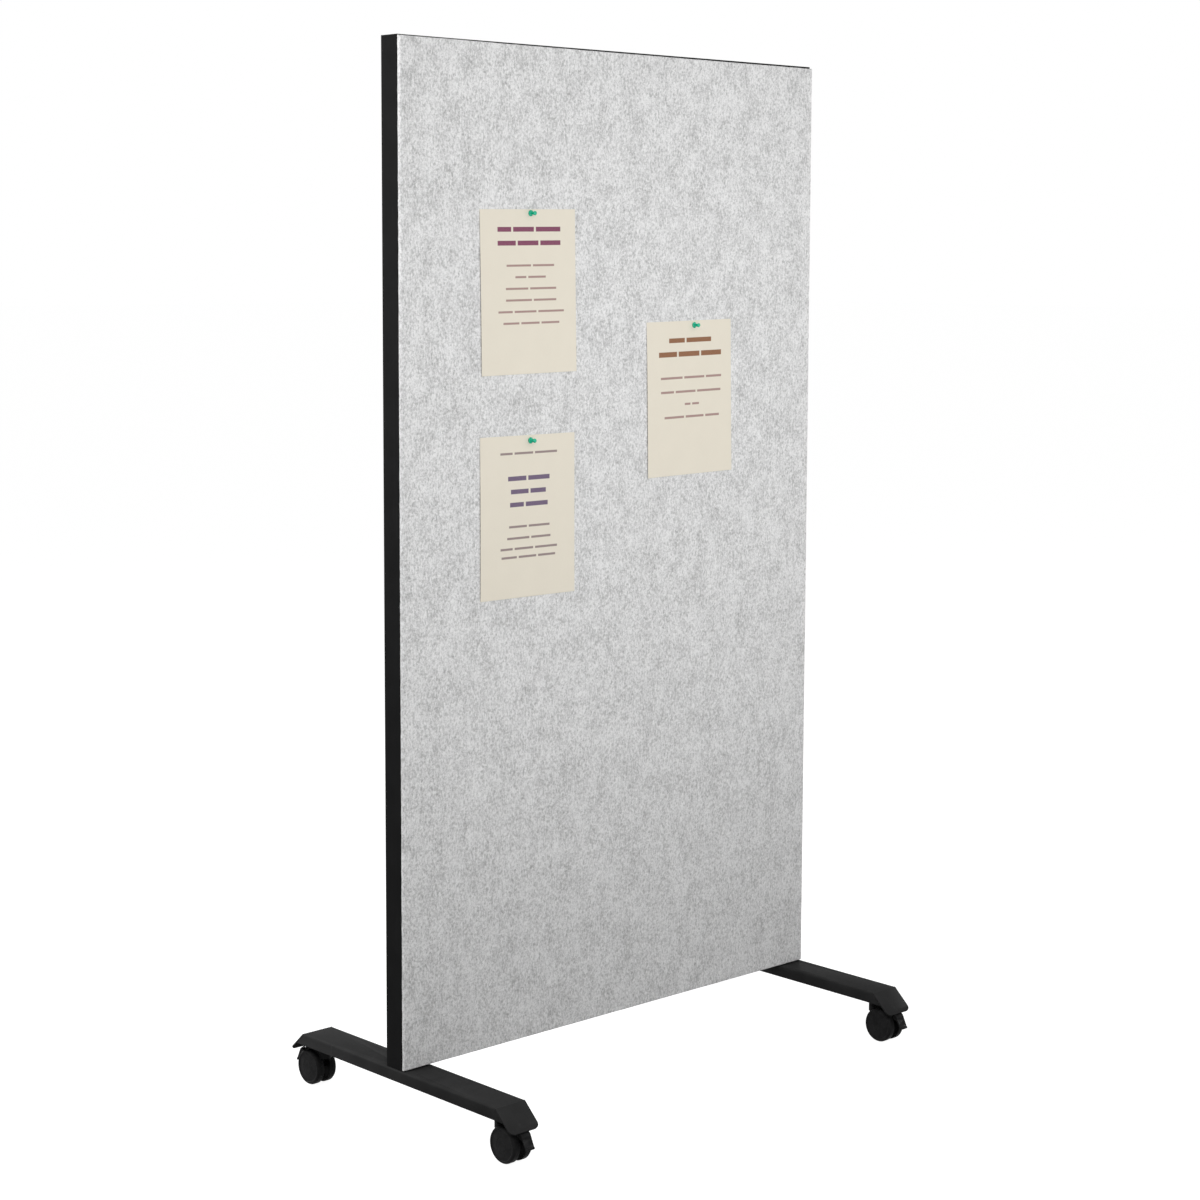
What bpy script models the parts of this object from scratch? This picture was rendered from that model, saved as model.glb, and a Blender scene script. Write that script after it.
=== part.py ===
# Mobile board: a felt tack face in front and a magnetic glass face behind, in one
# black frame on two bent steel legs, each with two braked twin-wheel casters.
# Metres, +Z up, origin on the floor under the middle of the panel.
# The felt faces -Y and the glass faces +Y.

import bpy
import bmesh
from math import acos, atan2, cos, hypot, pi, radians, sin, sqrt, tan
from mathutils import Matrix, Vector


# Driving sizes
panel_width = 0.990
felt_height = 1.720
leg_reach = 0.5224           # between the two bend lines of a leg
leg_width = 0.065
leg_overhang = 0.0028        # how far a leg stands out past the panel's end
wheel_radius = 0.0308
leg_rise = 0.0307            # from the wheels' tops to the legs' undersides
seat_gap = 0.0003            # between pieces that touch
cut_overrun = 0.002          # how far a cutter runs past the material
weld_distance = 0.000001

# Legs and their bolts
leg_sheet = 0.0025
leg_flange_depth = 0.020
leg_inner_bend = 0.0005
tab_inner_bend = 0.001
leg_flange_cutback = 0.0065  # of a flange's lower corner at its ends
tab_angle = radians(42.5)
tab_corner_radius = 0.011
tab_side_inset = 0.0008
tab_length = 0.0523          # from the bend line down the slope
bolt_radius = 0.003
bolt_head_radius = 0.00525
bolt_head_height = 0.0033
bolt_socket_radius = 0.002
bolt_socket_depth = 0.002
bolt_spacing = 0.026
bolt_tip_cover = 0.001       # corner key left above a bolt's tip

leg_underside = 2 * wheel_radius + leg_rise
leg_top = leg_underside + leg_sheet
leg_middle = (panel_width - leg_width) / 2 + leg_overhang
bolt_hole_radius = bolt_radius + seat_gap

# Panel layers, from the felt in front to the glass behind
felt_thickness = 0.0067
frame_depth = 0.0423
frame_wall = 0.0025
frame_flange = 0.022         # how far the two inner flanges reach in
frame_edge_radius = 0.001
backer_thickness = 0.0005
glass_thickness = 0.004
felt_top_reveal = 0.003      # frame showing above the felt
felt_bottom_lift = 0.0020    # frame showing below the felt
felt_side_inset = 0.0004
key_arm_length = 0.075
key_arm_thickness = 0.010
key_chamfer = 0.003

frame_bottom = leg_top + seat_gap
frame_top = frame_bottom + felt_bottom_lift + felt_height + felt_top_reveal
panel_depth = felt_thickness + seat_gap + frame_depth
felt_front = -panel_depth / 2
felt_back = felt_front + felt_thickness
frame_front = felt_back + seat_gap
frame_back = frame_front + frame_depth
glass_seat = frame_back - glass_thickness - backer_thickness - 2 * seat_gap
channel_front = frame_front + frame_wall
channel_back = glass_seat - frame_wall
channel_middle = (channel_front + channel_back) / 2
felt_bottom = frame_bottom + felt_bottom_lift
felt_top = felt_bottom + felt_height
key_inset = frame_wall + seat_gap

# Casters: X across, Y the way the wheels trail, Z up from the floor
stem_inset = 0.0221          # from the leg's bend line in to the stem
wheel_trail = 0.0237
stem_radius = 0.0055
stem_length = 0.021          # in the hood
stem_collar_radius = 0.0095
stem_collar_height = 0.003
stem_thread_radius = 0.005
nut_flats = 0.017
nut_height = 0.0088
wheel_width = 0.0138
wheel_gap = 0.0138           # between the two wheels
wheel_steps = 28
axle_radius = 0.003
axle_cover = 0.0055          # wheel left outside an axle's end
hood_clearance = 0.0014      # over the wheels
pivot_rise = 0.0043          # from the hood's inner arc out to the brake's pin
pivot_angle = radians(56.5)
brake_pin_radius = 0.00125

stem_place = leg_reach / 2 - stem_inset
thread_top = leg_underside - seat_gap
nut_bottom = thread_top - nut_height
collar_top = nut_bottom - seat_gap
collar_bottom = collar_top - stem_collar_height
boss_top = collar_bottom - seat_gap
tread_radius = wheel_radius / cos(pi / wheel_steps)
hood_inner_radius = tread_radius + hood_clearance
pivot_radius = hood_inner_radius + pivot_rise
pivot_aside = pivot_radius * cos(pivot_angle)
pivot_above = pivot_radius * sin(pivot_angle)
pivot_out = wheel_trail + pivot_aside
pivot_height = wheel_radius + pivot_above


# Scene and materials

def clear_scene():
    for old in list(bpy.data.objects):
        bpy.data.objects.remove(old, do_unlink=True)


def make_material(name, colour, roughness, metallic=0.0):
    material = bpy.data.materials.new(name)
    material.use_nodes = True
    shader = material.node_tree.nodes["Principled BSDF"]
    shader.inputs["Base Color"].default_value = (*colour, 1.0)
    shader.inputs["Roughness"].default_value = roughness
    shader.inputs["Metallic"].default_value = metallic
    return material


def make_materials():
    return {
        "frame_black": make_material("frame_black", (0.018, 0.018, 0.018), 0.45),
        "leg_black": make_material("leg_black", (0.024, 0.024, 0.024), 0.32),
        "caster_black": make_material("caster_black", (0.016, 0.016, 0.016), 0.35),
        "felt_grey": make_material("felt_grey", (0.55, 0.55, 0.54), 0.95),
        "board_glass": make_material("board_glass", (0.86, 0.88, 0.87), 0.05),
        "backer_steel": make_material("backer_steel", (0.55, 0.55, 0.56), 0.40, 1.0),
        "honeycomb": make_material("honeycomb", (0.55, 0.42, 0.28), 0.90),
        "zinc": make_material("zinc", (0.62, 0.62, 0.64), 0.35, 1.0),
        "key_alloy": make_material("key_alloy", (0.60, 0.60, 0.61), 0.45, 1.0),
        "sheet_cream": make_material("sheet_cream", (0.76, 0.69, 0.60), 0.85),
        "pin_green": make_material("pin_green", (0.0, 0.40, 0.20), 0.30),
    }


# Modelling helpers

def arc(centre, radius, start, end, steps):
    """Points on a circle from one angle to another, both ends included."""
    turn = (end - start) / steps
    return [
        (centre[0] + radius * cos(start + turn * i), centre[1] + radius * sin(start + turn * i))
        for i in range(steps + 1)
    ]


def fillet(outline, radius, steps=3, corners=None):
    """The closed outline with its corners, or only those listed, rounded to the radius."""
    rounded = []
    for i, corner in enumerate(outline):
        if corners is not None and i not in corners:
            rounded.append(corner)
            continue
        here = Vector(corner)
        back = (Vector(outline[i - 1]) - here).normalized()
        on = (Vector(outline[(i + 1) % len(outline)]) - here).normalized()
        half = acos(max(-1.0, min(1.0, back.dot(on)))) / 2
        centre = here + (back + on).normalized() * (radius / sin(half))
        first = here + back * (radius / tan(half)) - centre
        last = here + on * (radius / tan(half)) - centre
        start = atan2(first.y, first.x)
        sweep = atan2(last.y, last.x) - start
        sweep -= 2 * pi * round(sweep / (2 * pi))
        rounded += arc(centre, radius, start, start + sweep, steps)
    return rounded


def placed(axis, across, along, depth):
    """A point from two outline coordinates and a depth along X, Y or Z."""
    if axis == "X":
        return (depth, across, along)
    if axis == "Y":
        return (across, depth, along)
    return (across, along, depth)


def prism(outline, axis, low, high):
    """The outline, in the two other axes, extruded along one axis."""
    bm = bmesh.new()
    face = bm.faces.new([bm.verts.new(placed(axis, a, b, low)) for a, b in outline])
    grown = bmesh.ops.extrude_face_region(bm, geom=[face])["geom"]
    shift = Vector(placed(axis, 0, 0, high - low))
    bmesh.ops.translate(bm, verts=[v for v in grown if isinstance(v, bmesh.types.BMVert)], vec=shift)
    bmesh.ops.recalc_face_normals(bm, faces=bm.faces)
    return bm


def slab(low, high):
    """A box between two opposite corners."""
    outline = [(low[0], low[2]), (high[0], low[2]), (high[0], high[2]), (low[0], high[2])]
    return prism(outline, "Y", low[1], high[1])


def turned(profile, steps, axis="Z", centre=(0, 0, 0), half_turned=False):
    """A solid of revolution from (radius, height) points, which start and end on the axis."""
    bm = bmesh.new()
    verts = [bm.verts.new((radius, 0, height)) for radius, height in profile]
    edges = [bm.edges.new(pair) for pair in zip(verts, verts[1:])]
    bmesh.ops.spin(
        bm, geom=verts + edges, cent=(0, 0, 0), axis=(0, 0, 1), angle=2 * pi, steps=steps, use_merge=True
    )
    bmesh.ops.remove_doubles(bm, verts=bm.verts, dist=weld_distance)
    if half_turned:
        bmesh.ops.rotate(bm, verts=bm.verts, matrix=Matrix.Rotation(pi / steps, 3, "Z"))
    lay = {"X": Matrix.Rotation(pi / 2, 3, "Y"), "Y": Matrix.Rotation(-pi / 2, 3, "X"), "Z": Matrix()}
    bmesh.ops.rotate(bm, verts=bm.verts, matrix=lay[axis])
    bmesh.ops.translate(bm, verts=bm.verts, vec=centre)
    bmesh.ops.recalc_face_normals(bm, faces=bm.faces)
    return bm


def rod(radius, low, high, axis="Z", centre=(0, 0, 0), steps=16):
    """A plain round bar or hole along an axis."""
    return turned([(0, low), (radius, low), (radius, high), (0, high)], steps, axis, centre)


def mesh_from(name, bm):
    mesh = bpy.data.meshes.new(name)
    bm.to_mesh(mesh)
    bm.free()
    return mesh


def carved(name, body, joins=(), cuts=(), bevel=None, solidify=None):
    """A finished mesh: the body with shapes joined on, others cut away, and its edges eased."""
    obj = bpy.data.objects.new(name, mesh_from(name, body))
    bpy.context.collection.objects.link(obj)
    helpers = []
    if solidify:
        shell = obj.modifiers.new("sheet", "SOLIDIFY")
        shell.thickness = solidify
        shell.offset = -1
        shell.use_even_offset = True
    for operation, shapes in (("UNION", joins), ("DIFFERENCE", cuts)):
        for shape in shapes:
            helper = bpy.data.objects.new(name + "_helper", mesh_from(name + "_helper", shape))
            bpy.context.collection.objects.link(helper)
            helper.hide_render = True
            helper.display_type = "WIRE"
            helpers.append(helper)
            boolean = obj.modifiers.new(operation.lower(), "BOOLEAN")
            boolean.operation = operation
            boolean.solver = "EXACT"
            boolean.object = helper
    if bevel:
        easing = obj.modifiers.new("easing", "BEVEL")
        easing.width = bevel
        easing.segments = 2
        easing.limit_method = "ANGLE"
        easing.angle_limit = radians(50)
    graph = bpy.context.evaluated_depsgraph_get()
    graph.update()
    finished = bpy.data.meshes.new_from_object(obj.evaluated_get(graph))
    finished.name = name
    for old in [obj, *helpers]:
        bpy.data.objects.remove(old, do_unlink=True)
    return finished


def place(name, mesh, material, location=(0, 0, 0), parent=None, rotation=(0, 0, 0), smooth=True):
    """One named piece of the board."""
    obj = bpy.data.objects.new(name, mesh)
    if not mesh.materials:
        mesh.materials.append(material)
        if smooth:
            mesh.shade_smooth()
            mesh.set_sharp_from_angle(angle=radians(35))
    obj.location = location
    obj.rotation_euler = rotation
    obj.parent = parent
    bpy.context.collection.objects.link(obj)
    return obj


# Frame

def frame_section():
    """The rail's section, as (inward, depth) points: a C channel with a lip round the glass."""
    outline = [
        (0, frame_front),
        (frame_flange, frame_front),
        (frame_flange, channel_front),
        (frame_wall, channel_front),
        (frame_wall, channel_back),
        (frame_flange, channel_back),
        (frame_flange, glass_seat),
        (frame_wall, glass_seat),
        (frame_wall, frame_back),
        (0, frame_back),
    ]
    return fillet(outline, frame_edge_radius, corners=(0, 9))


def frame_rail(start, end, inward):
    """A mitred length of the section between two outer corners of the frame."""
    start, end, inward = Vector(start), Vector(end), Vector(inward)
    along = (end - start).normalized()
    mitre_gap = seat_gap / sqrt(2)
    bm = bmesh.new()
    rings = []
    for corner, sense in ((start, 1), (end, -1)):
        ring = []
        for reach, depth in frame_section():
            point = corner + inward * reach + along * (sense * (reach + mitre_gap))
            ring.append(bm.verts.new((point.x, depth, point.z)))
        rings.append(ring)
    first, last = rings
    bm.faces.new(first)
    bm.faces.new(last)
    for i in range(len(first)):
        j = (i + 1) % len(first)
        bm.faces.new((first[i], first[j], last[j], last[i]))
    bmesh.ops.recalc_face_normals(bm, faces=bm.faces)
    return bm


def leg_bolt_places():
    """The side, rank and X of each leg bolt."""
    return [
        (side, rank, sense * (leg_middle + way * bolt_spacing / 2))
        for side, sense in (("left", -1), ("right", 1))
        for rank, way in (("outer", 1), ("inner", -1))
    ]


def bolt_cutters(low, high):
    """Clearance holes for the leg bolts."""
    return [
        rod(bolt_hole_radius, low, high, centre=(x, channel_middle, 0), steps=12)
        for _, _, x in leg_bolt_places()
    ]


def build_frame(finish):
    side = panel_width / 2
    corners = {
        "bottom_left": (-side, 0, frame_bottom),
        "bottom_right": (side, 0, frame_bottom),
        "top_left": (-side, 0, frame_top),
        "top_right": (side, 0, frame_top),
    }
    rails = {
        "frame_stile_left": ("bottom_left", "top_left", (1, 0, 0)),
        "frame_stile_right": ("bottom_right", "top_right", (-1, 0, 0)),
        "frame_rail_top": ("top_left", "top_right", (0, 0, -1)),
        "frame_rail_bottom": ("bottom_left", "bottom_right", (0, 0, 1)),
    }
    wall_top = frame_bottom + frame_wall
    for name, (start, end, inward) in rails.items():
        bottom = name == "frame_rail_bottom"
        cuts = bolt_cutters(frame_bottom - cut_overrun, wall_top + cut_overrun) if bottom else ()
        mesh = carved(name, frame_rail(corners[start], corners[end], inward), cuts=cuts)
        place(name, mesh, finish["frame_black"])


def build_corner_keys(finish):
    side = panel_width / 2 - key_inset
    low = frame_bottom + key_inset
    high = frame_top - key_inset
    legs = [
        (0, 0),
        (key_arm_length, 0),
        (key_arm_length, key_arm_thickness),
        (key_arm_thickness, key_arm_thickness),
        (key_arm_thickness, key_arm_length),
        (0, key_arm_length),
    ]
    for name, x, x_way, z, z_way in (
        ("corner_key_bottom_left", -side, 1, low, 1),
        ("corner_key_bottom_right", side, -1, low, 1),
        ("corner_key_top_left", -side, 1, high, -1),
        ("corner_key_top_right", side, -1, high, -1),
    ):
        rounded = fillet(legs, key_chamfer, corners=(0, 2, 4))
        outline = [(x + x_way * a, z + z_way * b) for a, b in rounded]
        body = prism(outline, "Y", channel_front + seat_gap, channel_back - seat_gap)
        cuts = ()
        if z_way > 0:
            cuts = bolt_cutters(low - cut_overrun, low + key_arm_thickness + cut_overrun)
        place(name, carved(name, body, cuts=cuts), finish["key_alloy"])


def build_core(finish):
    """Honeycomb panel: a tongue all round sits in the frame's channel."""
    side = panel_width / 2
    tongue_inset = key_inset + key_arm_thickness + seat_gap
    bm = slab(
        (-side + tongue_inset, channel_front + seat_gap, frame_bottom + tongue_inset),
        (side - tongue_inset, channel_back - seat_gap, frame_top - tongue_inset),
    )
    step = frame_flange + seat_gap - tongue_inset
    for way, level in ((-1, frame_front), (1, glass_seat)):
        face = next(f for f in bm.faces if f.normal.y * way > 0.5)
        bmesh.ops.inset_region(bm, faces=[face], thickness=step, use_even_offset=True)
        grown = bmesh.ops.extrude_face_region(bm, geom=[face])["geom"]
        for vert in [v for v in grown if isinstance(v, bmesh.types.BMVert)]:
            vert.co.y = level
        bmesh.ops.delete(bm, geom=[face], context="FACES")
    bmesh.ops.recalc_face_normals(bm, faces=bm.faces)
    place("core_panel", mesh_from("core_panel", bm), finish["honeycomb"], smooth=False)


# Glass and its steel backer

glass_edge_bevel = 0.0005


def build_glass(finish):
    """Steel backer and glass, one behind the other inside the frame's lip."""
    reach = frame_wall + seat_gap
    side = panel_width / 2 - reach
    low, high = frame_bottom + reach, frame_top - reach
    backer_front = glass_seat + seat_gap
    backer_back = backer_front + backer_thickness
    backer = slab((-side, backer_front, low), (side, backer_back, high))
    place("steel_backer", mesh_from("steel_backer", backer), finish["backer_steel"], smooth=False)
    glass = slab((-side, backer_back + seat_gap, low), (side, frame_back, high))
    mesh = carved("glass_board", glass, bevel=glass_edge_bevel)
    place("glass_board", mesh, finish["board_glass"])


# Legs

def leg_section():
    """The leg's outer section as (across, down) points, flange to flange."""
    side = leg_width / 2
    bend = leg_sheet + leg_inner_bend
    left = arc((-side + bend, -bend), bend, pi, pi / 2, 3)
    right = arc((side - bend, -bend), bend, pi / 2, 0, 3)
    return [(-side, -leg_flange_depth)] + left + right + [(side, -leg_flange_depth)]


def leg_sheet_surface():
    """The outer skin of a leg: a channel whose top runs on into a bent-down tab at each end."""
    bm = bmesh.new()
    side = leg_width / 2
    section = leg_section()
    bend = leg_sheet + tab_inner_bend
    setback = bend * tan(tab_angle / 2)
    flat_end = leg_reach / 2 - setback
    cutbacks = [leg_flange_cutback, *[0] * (len(section) - 2), leg_flange_cutback]
    rows = [
        [bm.verts.new((x, way * (flat_end - cutback), z)) for (x, z), cutback in zip(section, cutbacks)]
        for way in (-1, 1)
    ]
    for i in range(len(section) - 1):
        bm.faces.new((rows[0][i], rows[0][i + 1], rows[1][i + 1], rows[1][i]))
    left_corner = len(section) // 2 - 1
    tab_half = side - tab_side_inset
    slope = tab_length - setback
    bend_steps = 4
    for row, way in ((rows[0], -1), (rows[1], 1)):
        edge = [row[left_corner], row[left_corner + 1]]
        for k in range(1, bend_steps + 1):
            turn = tab_angle * k / bend_steps
            half = edge[1].co.x if k == 1 else tab_half
            y = way * (flat_end + bend * sin(turn))
            z = -bend * (1 - cos(turn))
            new_edge = [bm.verts.new((-half, y, z)), bm.verts.new((half, y, z))]
            bm.faces.new((edge[0], edge[1], new_edge[1], new_edge[0]))
            edge = new_edge
        outline = [(-tab_half, 0), (-tab_half, slope), (tab_half, slope), (tab_half, 0)]
        rounded = fillet(outline, tab_corner_radius, steps=5, corners=(1, 2))
        points = [
            bm.verts.new((x, y + way * t * cos(tab_angle), z - t * sin(tab_angle)))
            for x, t in rounded[1:-1]
        ]
        bm.faces.new([edge[0], *points, edge[1]])
    bmesh.ops.recalc_face_normals(bm, faces=bm.faces)
    top = max(bm.faces, key=lambda face: face.normal.z ** 2 * face.calc_area())
    if top.normal.z < 0:
        bmesh.ops.reverse_faces(bm, faces=bm.faces)
    return bm


def build_legs(finish):
    for side, sense in (("left", -1), ("right", 1)):
        middle = sense * leg_middle
        holes = [
            rod(
                bolt_hole_radius,
                -leg_sheet - cut_overrun,
                cut_overrun,
                centre=(x - middle, channel_middle, 0),
                steps=12,
            )
            for which, _, x in leg_bolt_places()
            if which == side
        ]
        mesh = carved("leg_" + side, leg_sheet_surface(), cuts=holes, solidify=leg_sheet)
        place("leg_" + side, mesh, finish["leg_black"], (middle, 0, leg_top))


def build_leg_bolts(finish):
    """Button-head bolts up through each leg into the frame's corner key."""
    tip = frame_bottom + key_inset + key_arm_thickness - bolt_tip_cover
    head_top = leg_underside - seat_gap
    head_bottom = head_top - bolt_head_height
    crown = bolt_head_height / 2
    profile = [
        (0, head_bottom),
        (bolt_head_radius - crown, head_bottom),
        (bolt_head_radius, head_bottom + crown),
        (bolt_head_radius, head_top),
        (bolt_radius, head_top),
        (bolt_radius, tip),
        (0, tip),
    ]
    socket = rod(bolt_socket_radius, head_bottom - cut_overrun, head_bottom + bolt_socket_depth, steps=6)
    mesh = carved("leg_bolt", turned(profile, 12), cuts=[socket])
    for side, rank, x in leg_bolt_places():
        place(f"leg_bolt_{side}_{rank}", mesh, finish["zinc"], (x, channel_middle, 0))


# Caster hood

hood_width = 0.024
hood_thickness = 0.0036
hood_back_angle = radians(128)
hood_front_angle = radians(72)
web_gap = 0.0005             # between the web and each wheel
axle_boss_radius = 0.009
boss_radius = 0.0115
boss_floor = 0.008           # under the stem's bore
boss_chamfer = 0.001
lug_radius = 0.0034
lug_width = 0.009

hood_outer_radius = hood_inner_radius + hood_thickness
bore_end = boss_top - stem_length - seat_gap


def hood_mesh():
    """Swivelling hood: a round boss, a web between the wheels, a cover over them and the brake's lug."""
    axle = (wheel_trail, wheel_radius)
    pivot = (pivot_out, pivot_height)
    boss = turned(
        [
            (0, bore_end - boss_floor),
            (boss_radius, bore_end - boss_floor),
            (boss_radius, boss_top - boss_chamfer),
            (boss_radius - boss_chamfer, boss_top),
            (0, boss_top),
        ],
        20,
    )
    web_outline = arc(
        axle, hood_outer_radius - hood_thickness / 2, hood_front_angle - radians(8), hood_back_angle, 6
    ) + arc(axle, axle_boss_radius, radians(185), radians(350), 6)
    web_half = wheel_gap / 2 - web_gap
    web = prism(web_outline, "X", -web_half, web_half)
    cover_outline = arc(axle, hood_outer_radius, hood_front_angle, hood_back_angle, 7) + arc(
        axle, hood_inner_radius - cut_overrun, hood_back_angle, hood_front_angle, 7
    )
    cover = prism(cover_outline, "X", -hood_width / 2, hood_width / 2)
    lug_outline = arc(pivot, lug_radius, pivot_angle - pi / 2, pivot_angle + pi / 2, 6) + [
        (axle[0] + hood_inner_radius * cos(angle), axle[1] + hood_inner_radius * sin(angle))
        for angle in (hood_front_angle + radians(4), hood_front_angle - radians(14))
    ]
    lug = prism(lug_outline, "X", -lug_width / 2, lug_width / 2)
    pockets = [
        rod(hood_inner_radius, low, high, "X", (0, *axle), 24)
        for low, high in ((web_half, hood_width), (-hood_width, -web_half))
    ]
    bore = rod(stem_radius + seat_gap, bore_end, boss_top + cut_overrun)
    axle_hole = rod(axle_radius + seat_gap, -hood_width, hood_width, "X", (0, *axle), 12)
    pin_hole = rod(brake_pin_radius + seat_gap, -hood_width, hood_width, "X", (0, *pivot), 10)
    return carved("caster_hood", boss, joins=[web, cover, lug], cuts=[*pockets, bore, axle_hole, pin_hole])


def stem_mesh():
    """Stem with a collar on the hood and a thread into the nut under the leg."""
    low = bore_end + seat_gap
    profile = [
        (0, low),
        (stem_radius - boss_chamfer, low),
        (stem_radius, low + boss_chamfer),
        (stem_radius, collar_bottom),
        (stem_collar_radius, collar_bottom),
        (stem_collar_radius, collar_top),
        (stem_thread_radius, collar_top),
        (stem_thread_radius, thread_top - boss_chamfer),
        (stem_thread_radius - boss_chamfer, thread_top),
        (0, thread_top),
    ]
    return mesh_from("caster_stem", turned(profile, 16))


def nut_mesh():
    corner = nut_flats / 2 / cos(pi / 6)
    body = rod(corner, nut_bottom, thread_top, steps=6)
    hole = rod(stem_thread_radius + seat_gap, nut_bottom - cut_overrun, thread_top + cut_overrun)
    return carved("weld_nut", body, cuts=[hole])


# Caster wheels and axle

wheel_edge_radius = 0.0033
wheel_face_dish = 0.0012     # how far the rim stands in front of the face's ring
wheel_rim_width = 0.0035
wheel_dome = 0.0010
wheel_wall = 0.0026
wheel_hub_radius = 0.0065


def wheel_mesh():
    """One of a pair: a closed outer face, open towards the web, along +X from its inner side."""
    face = wheel_width
    rim = tread_radius - wheel_edge_radius
    shoulder = arc((face - wheel_edge_radius, rim), wheel_edge_radius, pi / 2, pi / 8, 2)
    bore = axle_radius + seat_gap
    bore_depth = wheel_width - axle_cover + seat_gap
    profile = [
        (0, bore_depth),
        (bore, bore_depth),
        (bore, seat_gap),
        (wheel_hub_radius, seat_gap),
        (wheel_hub_radius, face - wheel_dome - wheel_wall),
        (rim - wheel_wall, face - wheel_face_dish - wheel_wall),
        (tread_radius - wheel_wall, 0),
        (tread_radius, 0),
        *[(radius, along) for along, radius in shoulder],
        (rim - wheel_rim_width / 2, face - wheel_face_dish / 3),
        (rim - wheel_rim_width, face - wheel_face_dish),
        (0, face),
    ]
    return mesh_from("caster_wheel", turned(profile, wheel_steps, "X", half_turned=True))


def axle_mesh():
    half = wheel_gap / 2 + wheel_width - axle_cover
    return mesh_from("caster_axle", rod(axle_radius, -half, half, "X", steps=12))


# Brake pedal and its pin

lever_width = 0.021
lever_end_width = 0.0175
lever_thickness = 0.0026
lever_arc_aside = 0.0076     # the pedal's centre of curvature, out from the axle
lever_arc_below = 0.0095     # and below it
lever_rise = 0.0018          # of the pedal's outer face over the pin
lever_knee_angle = radians(48)   # where its arc ends and its flat lower part starts
lever_flat_facing = radians(27.6)
lever_end_angle = radians(16)
lever_bead_radius = 0.0019
knuckle_radius = 0.0032
brake_travel = radians(12)
shoe_clearance = 0.0005      # from the wheels to the brake shoe when the pedal is down
shoe_angle = radians(35)
shoe_span = radians(8)
shoe_width = 0.0185


def lever_mesh():
    """Brake pedal: two knuckles on the pin, a curved pad, a beaded end and the shoe under it."""
    axle = (-pivot_aside, -pivot_above)
    centre = (axle[0] + lever_arc_aside, axle[1] - lever_arc_below)
    radius = hypot(*centre) + lever_rise
    start_angle = atan2(-centre[1], -centre[0])
    flat_reach = radius * cos(lever_knee_angle - lever_flat_facing)

    def pad_point(angle, depth):
        reach = radius if angle >= lever_knee_angle else flat_reach / cos(lever_flat_facing - angle)
        return (centre[0] + (reach - depth) * cos(angle), centre[1] + (reach - depth) * sin(angle))

    outer = arc(centre, radius, start_angle, lever_knee_angle, 4) + [pad_point(lever_end_angle, 0)]
    inner = [pad_point(lever_end_angle, lever_thickness)] + arc(
        centre, radius - lever_thickness, lever_knee_angle, start_angle, 4
    )
    pad = prism(outer + inner, "X", -lever_width / 2, lever_width / 2)
    for vert in pad.verts:
        angle = atan2(vert.co.z - centre[1], vert.co.y - centre[0])
        along = (start_angle - angle) / (start_angle - lever_end_angle)
        vert.co.x *= 1 - along * (1 - lever_end_width / lever_width)
    bead_place = pad_point(lever_end_angle, lever_thickness / 3)
    bead_half = lever_end_width / 2 + seat_gap
    bead = rod(lever_bead_radius, -bead_half, bead_half, "X", (0, *bead_place), 8)
    knuckle_half = lever_width / 2 + seat_gap
    knuckle = rod(knuckle_radius, -knuckle_half, knuckle_half, "X", steps=12)
    shoe_low, shoe_high = shoe_angle - shoe_span, shoe_angle + shoe_span
    pressed = arc(axle, tread_radius + shoe_clearance, shoe_low, shoe_high, 3)
    released = [
        (y * cos(brake_travel) - z * sin(brake_travel), y * sin(brake_travel) + z * cos(brake_travel))
        for y, z in pressed
    ]
    shoe_outline = released + [
        pad_point(angle, lever_thickness / 2) for angle in (shoe_high + shoe_span, shoe_low + shoe_span)
    ]
    shoe = prism(shoe_outline, "X", -shoe_width / 2, shoe_width / 2)
    notch_half = lug_width / 2 + seat_gap
    notch = rod(lug_radius + 2 * seat_gap, -notch_half, notch_half, "X")
    reach = hood_outer_radius
    behind = [(-reach, -reach), (0, -reach), (0, reach), (-reach, reach)]
    clear = prism(behind, "X", -notch_half, notch_half)
    pin_hole = rod(brake_pin_radius + seat_gap, -lever_width, lever_width, "X", steps=10)
    return carved("brake_lever", pad, joins=[bead, knuckle, shoe], cuts=[notch, clear, pin_hole])


def brake_pin_mesh():
    half = lever_width / 2
    return mesh_from("brake_pin", rod(brake_pin_radius, -half, half, "X", steps=10))


def build_casters(finish):
    hood, stem, nut = hood_mesh(), stem_mesh(), nut_mesh()
    wheel, axle, lever, pin = wheel_mesh(), axle_mesh(), lever_mesh(), brake_pin_mesh()
    for corner, x, way in (
        ("front_left", -leg_middle, -1),
        ("front_right", leg_middle, -1),
        ("rear_left", -leg_middle, 1),
        ("rear_right", leg_middle, 1),
    ):
        swivel = bpy.data.objects.new("swivel_" + corner, None)
        swivel.location = (x, way * stem_place, 0)
        swivel.rotation_euler = (0, 0, 0 if way > 0 else pi)
        bpy.context.collection.objects.link(swivel)
        place("stem_" + corner, stem, finish["zinc"], parent=swivel)
        place("weld_nut_" + corner, nut, finish["leg_black"], parent=swivel)
        place("hood_" + corner, hood, finish["caster_black"], parent=swivel)
        hub = (0, wheel_trail, wheel_radius)
        place("axle_" + corner, axle, finish["zinc"], hub, swivel)
        for hand, sense in (("inner", 1), ("outer", -1)):
            # The outer wheel of a pair is the one nearer the panel's end
            flip = sense * (1 if x * way < 0 else -1)
            spot = (flip * wheel_gap / 2, wheel_trail, wheel_radius)
            turn = (0, 0, 0 if flip > 0 else pi)
            place(f"wheel_{corner}_{hand}", wheel, finish["caster_black"], spot, swivel, turn)
        pivot = (0, pivot_out, pivot_height)
        place("brake_lever_" + corner, lever, finish["caster_black"], pivot, swivel)
        place("brake_pin_" + corner, pin, finish["zinc"], pivot, swivel)


# Felt, with the sheets pinned to it

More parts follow.
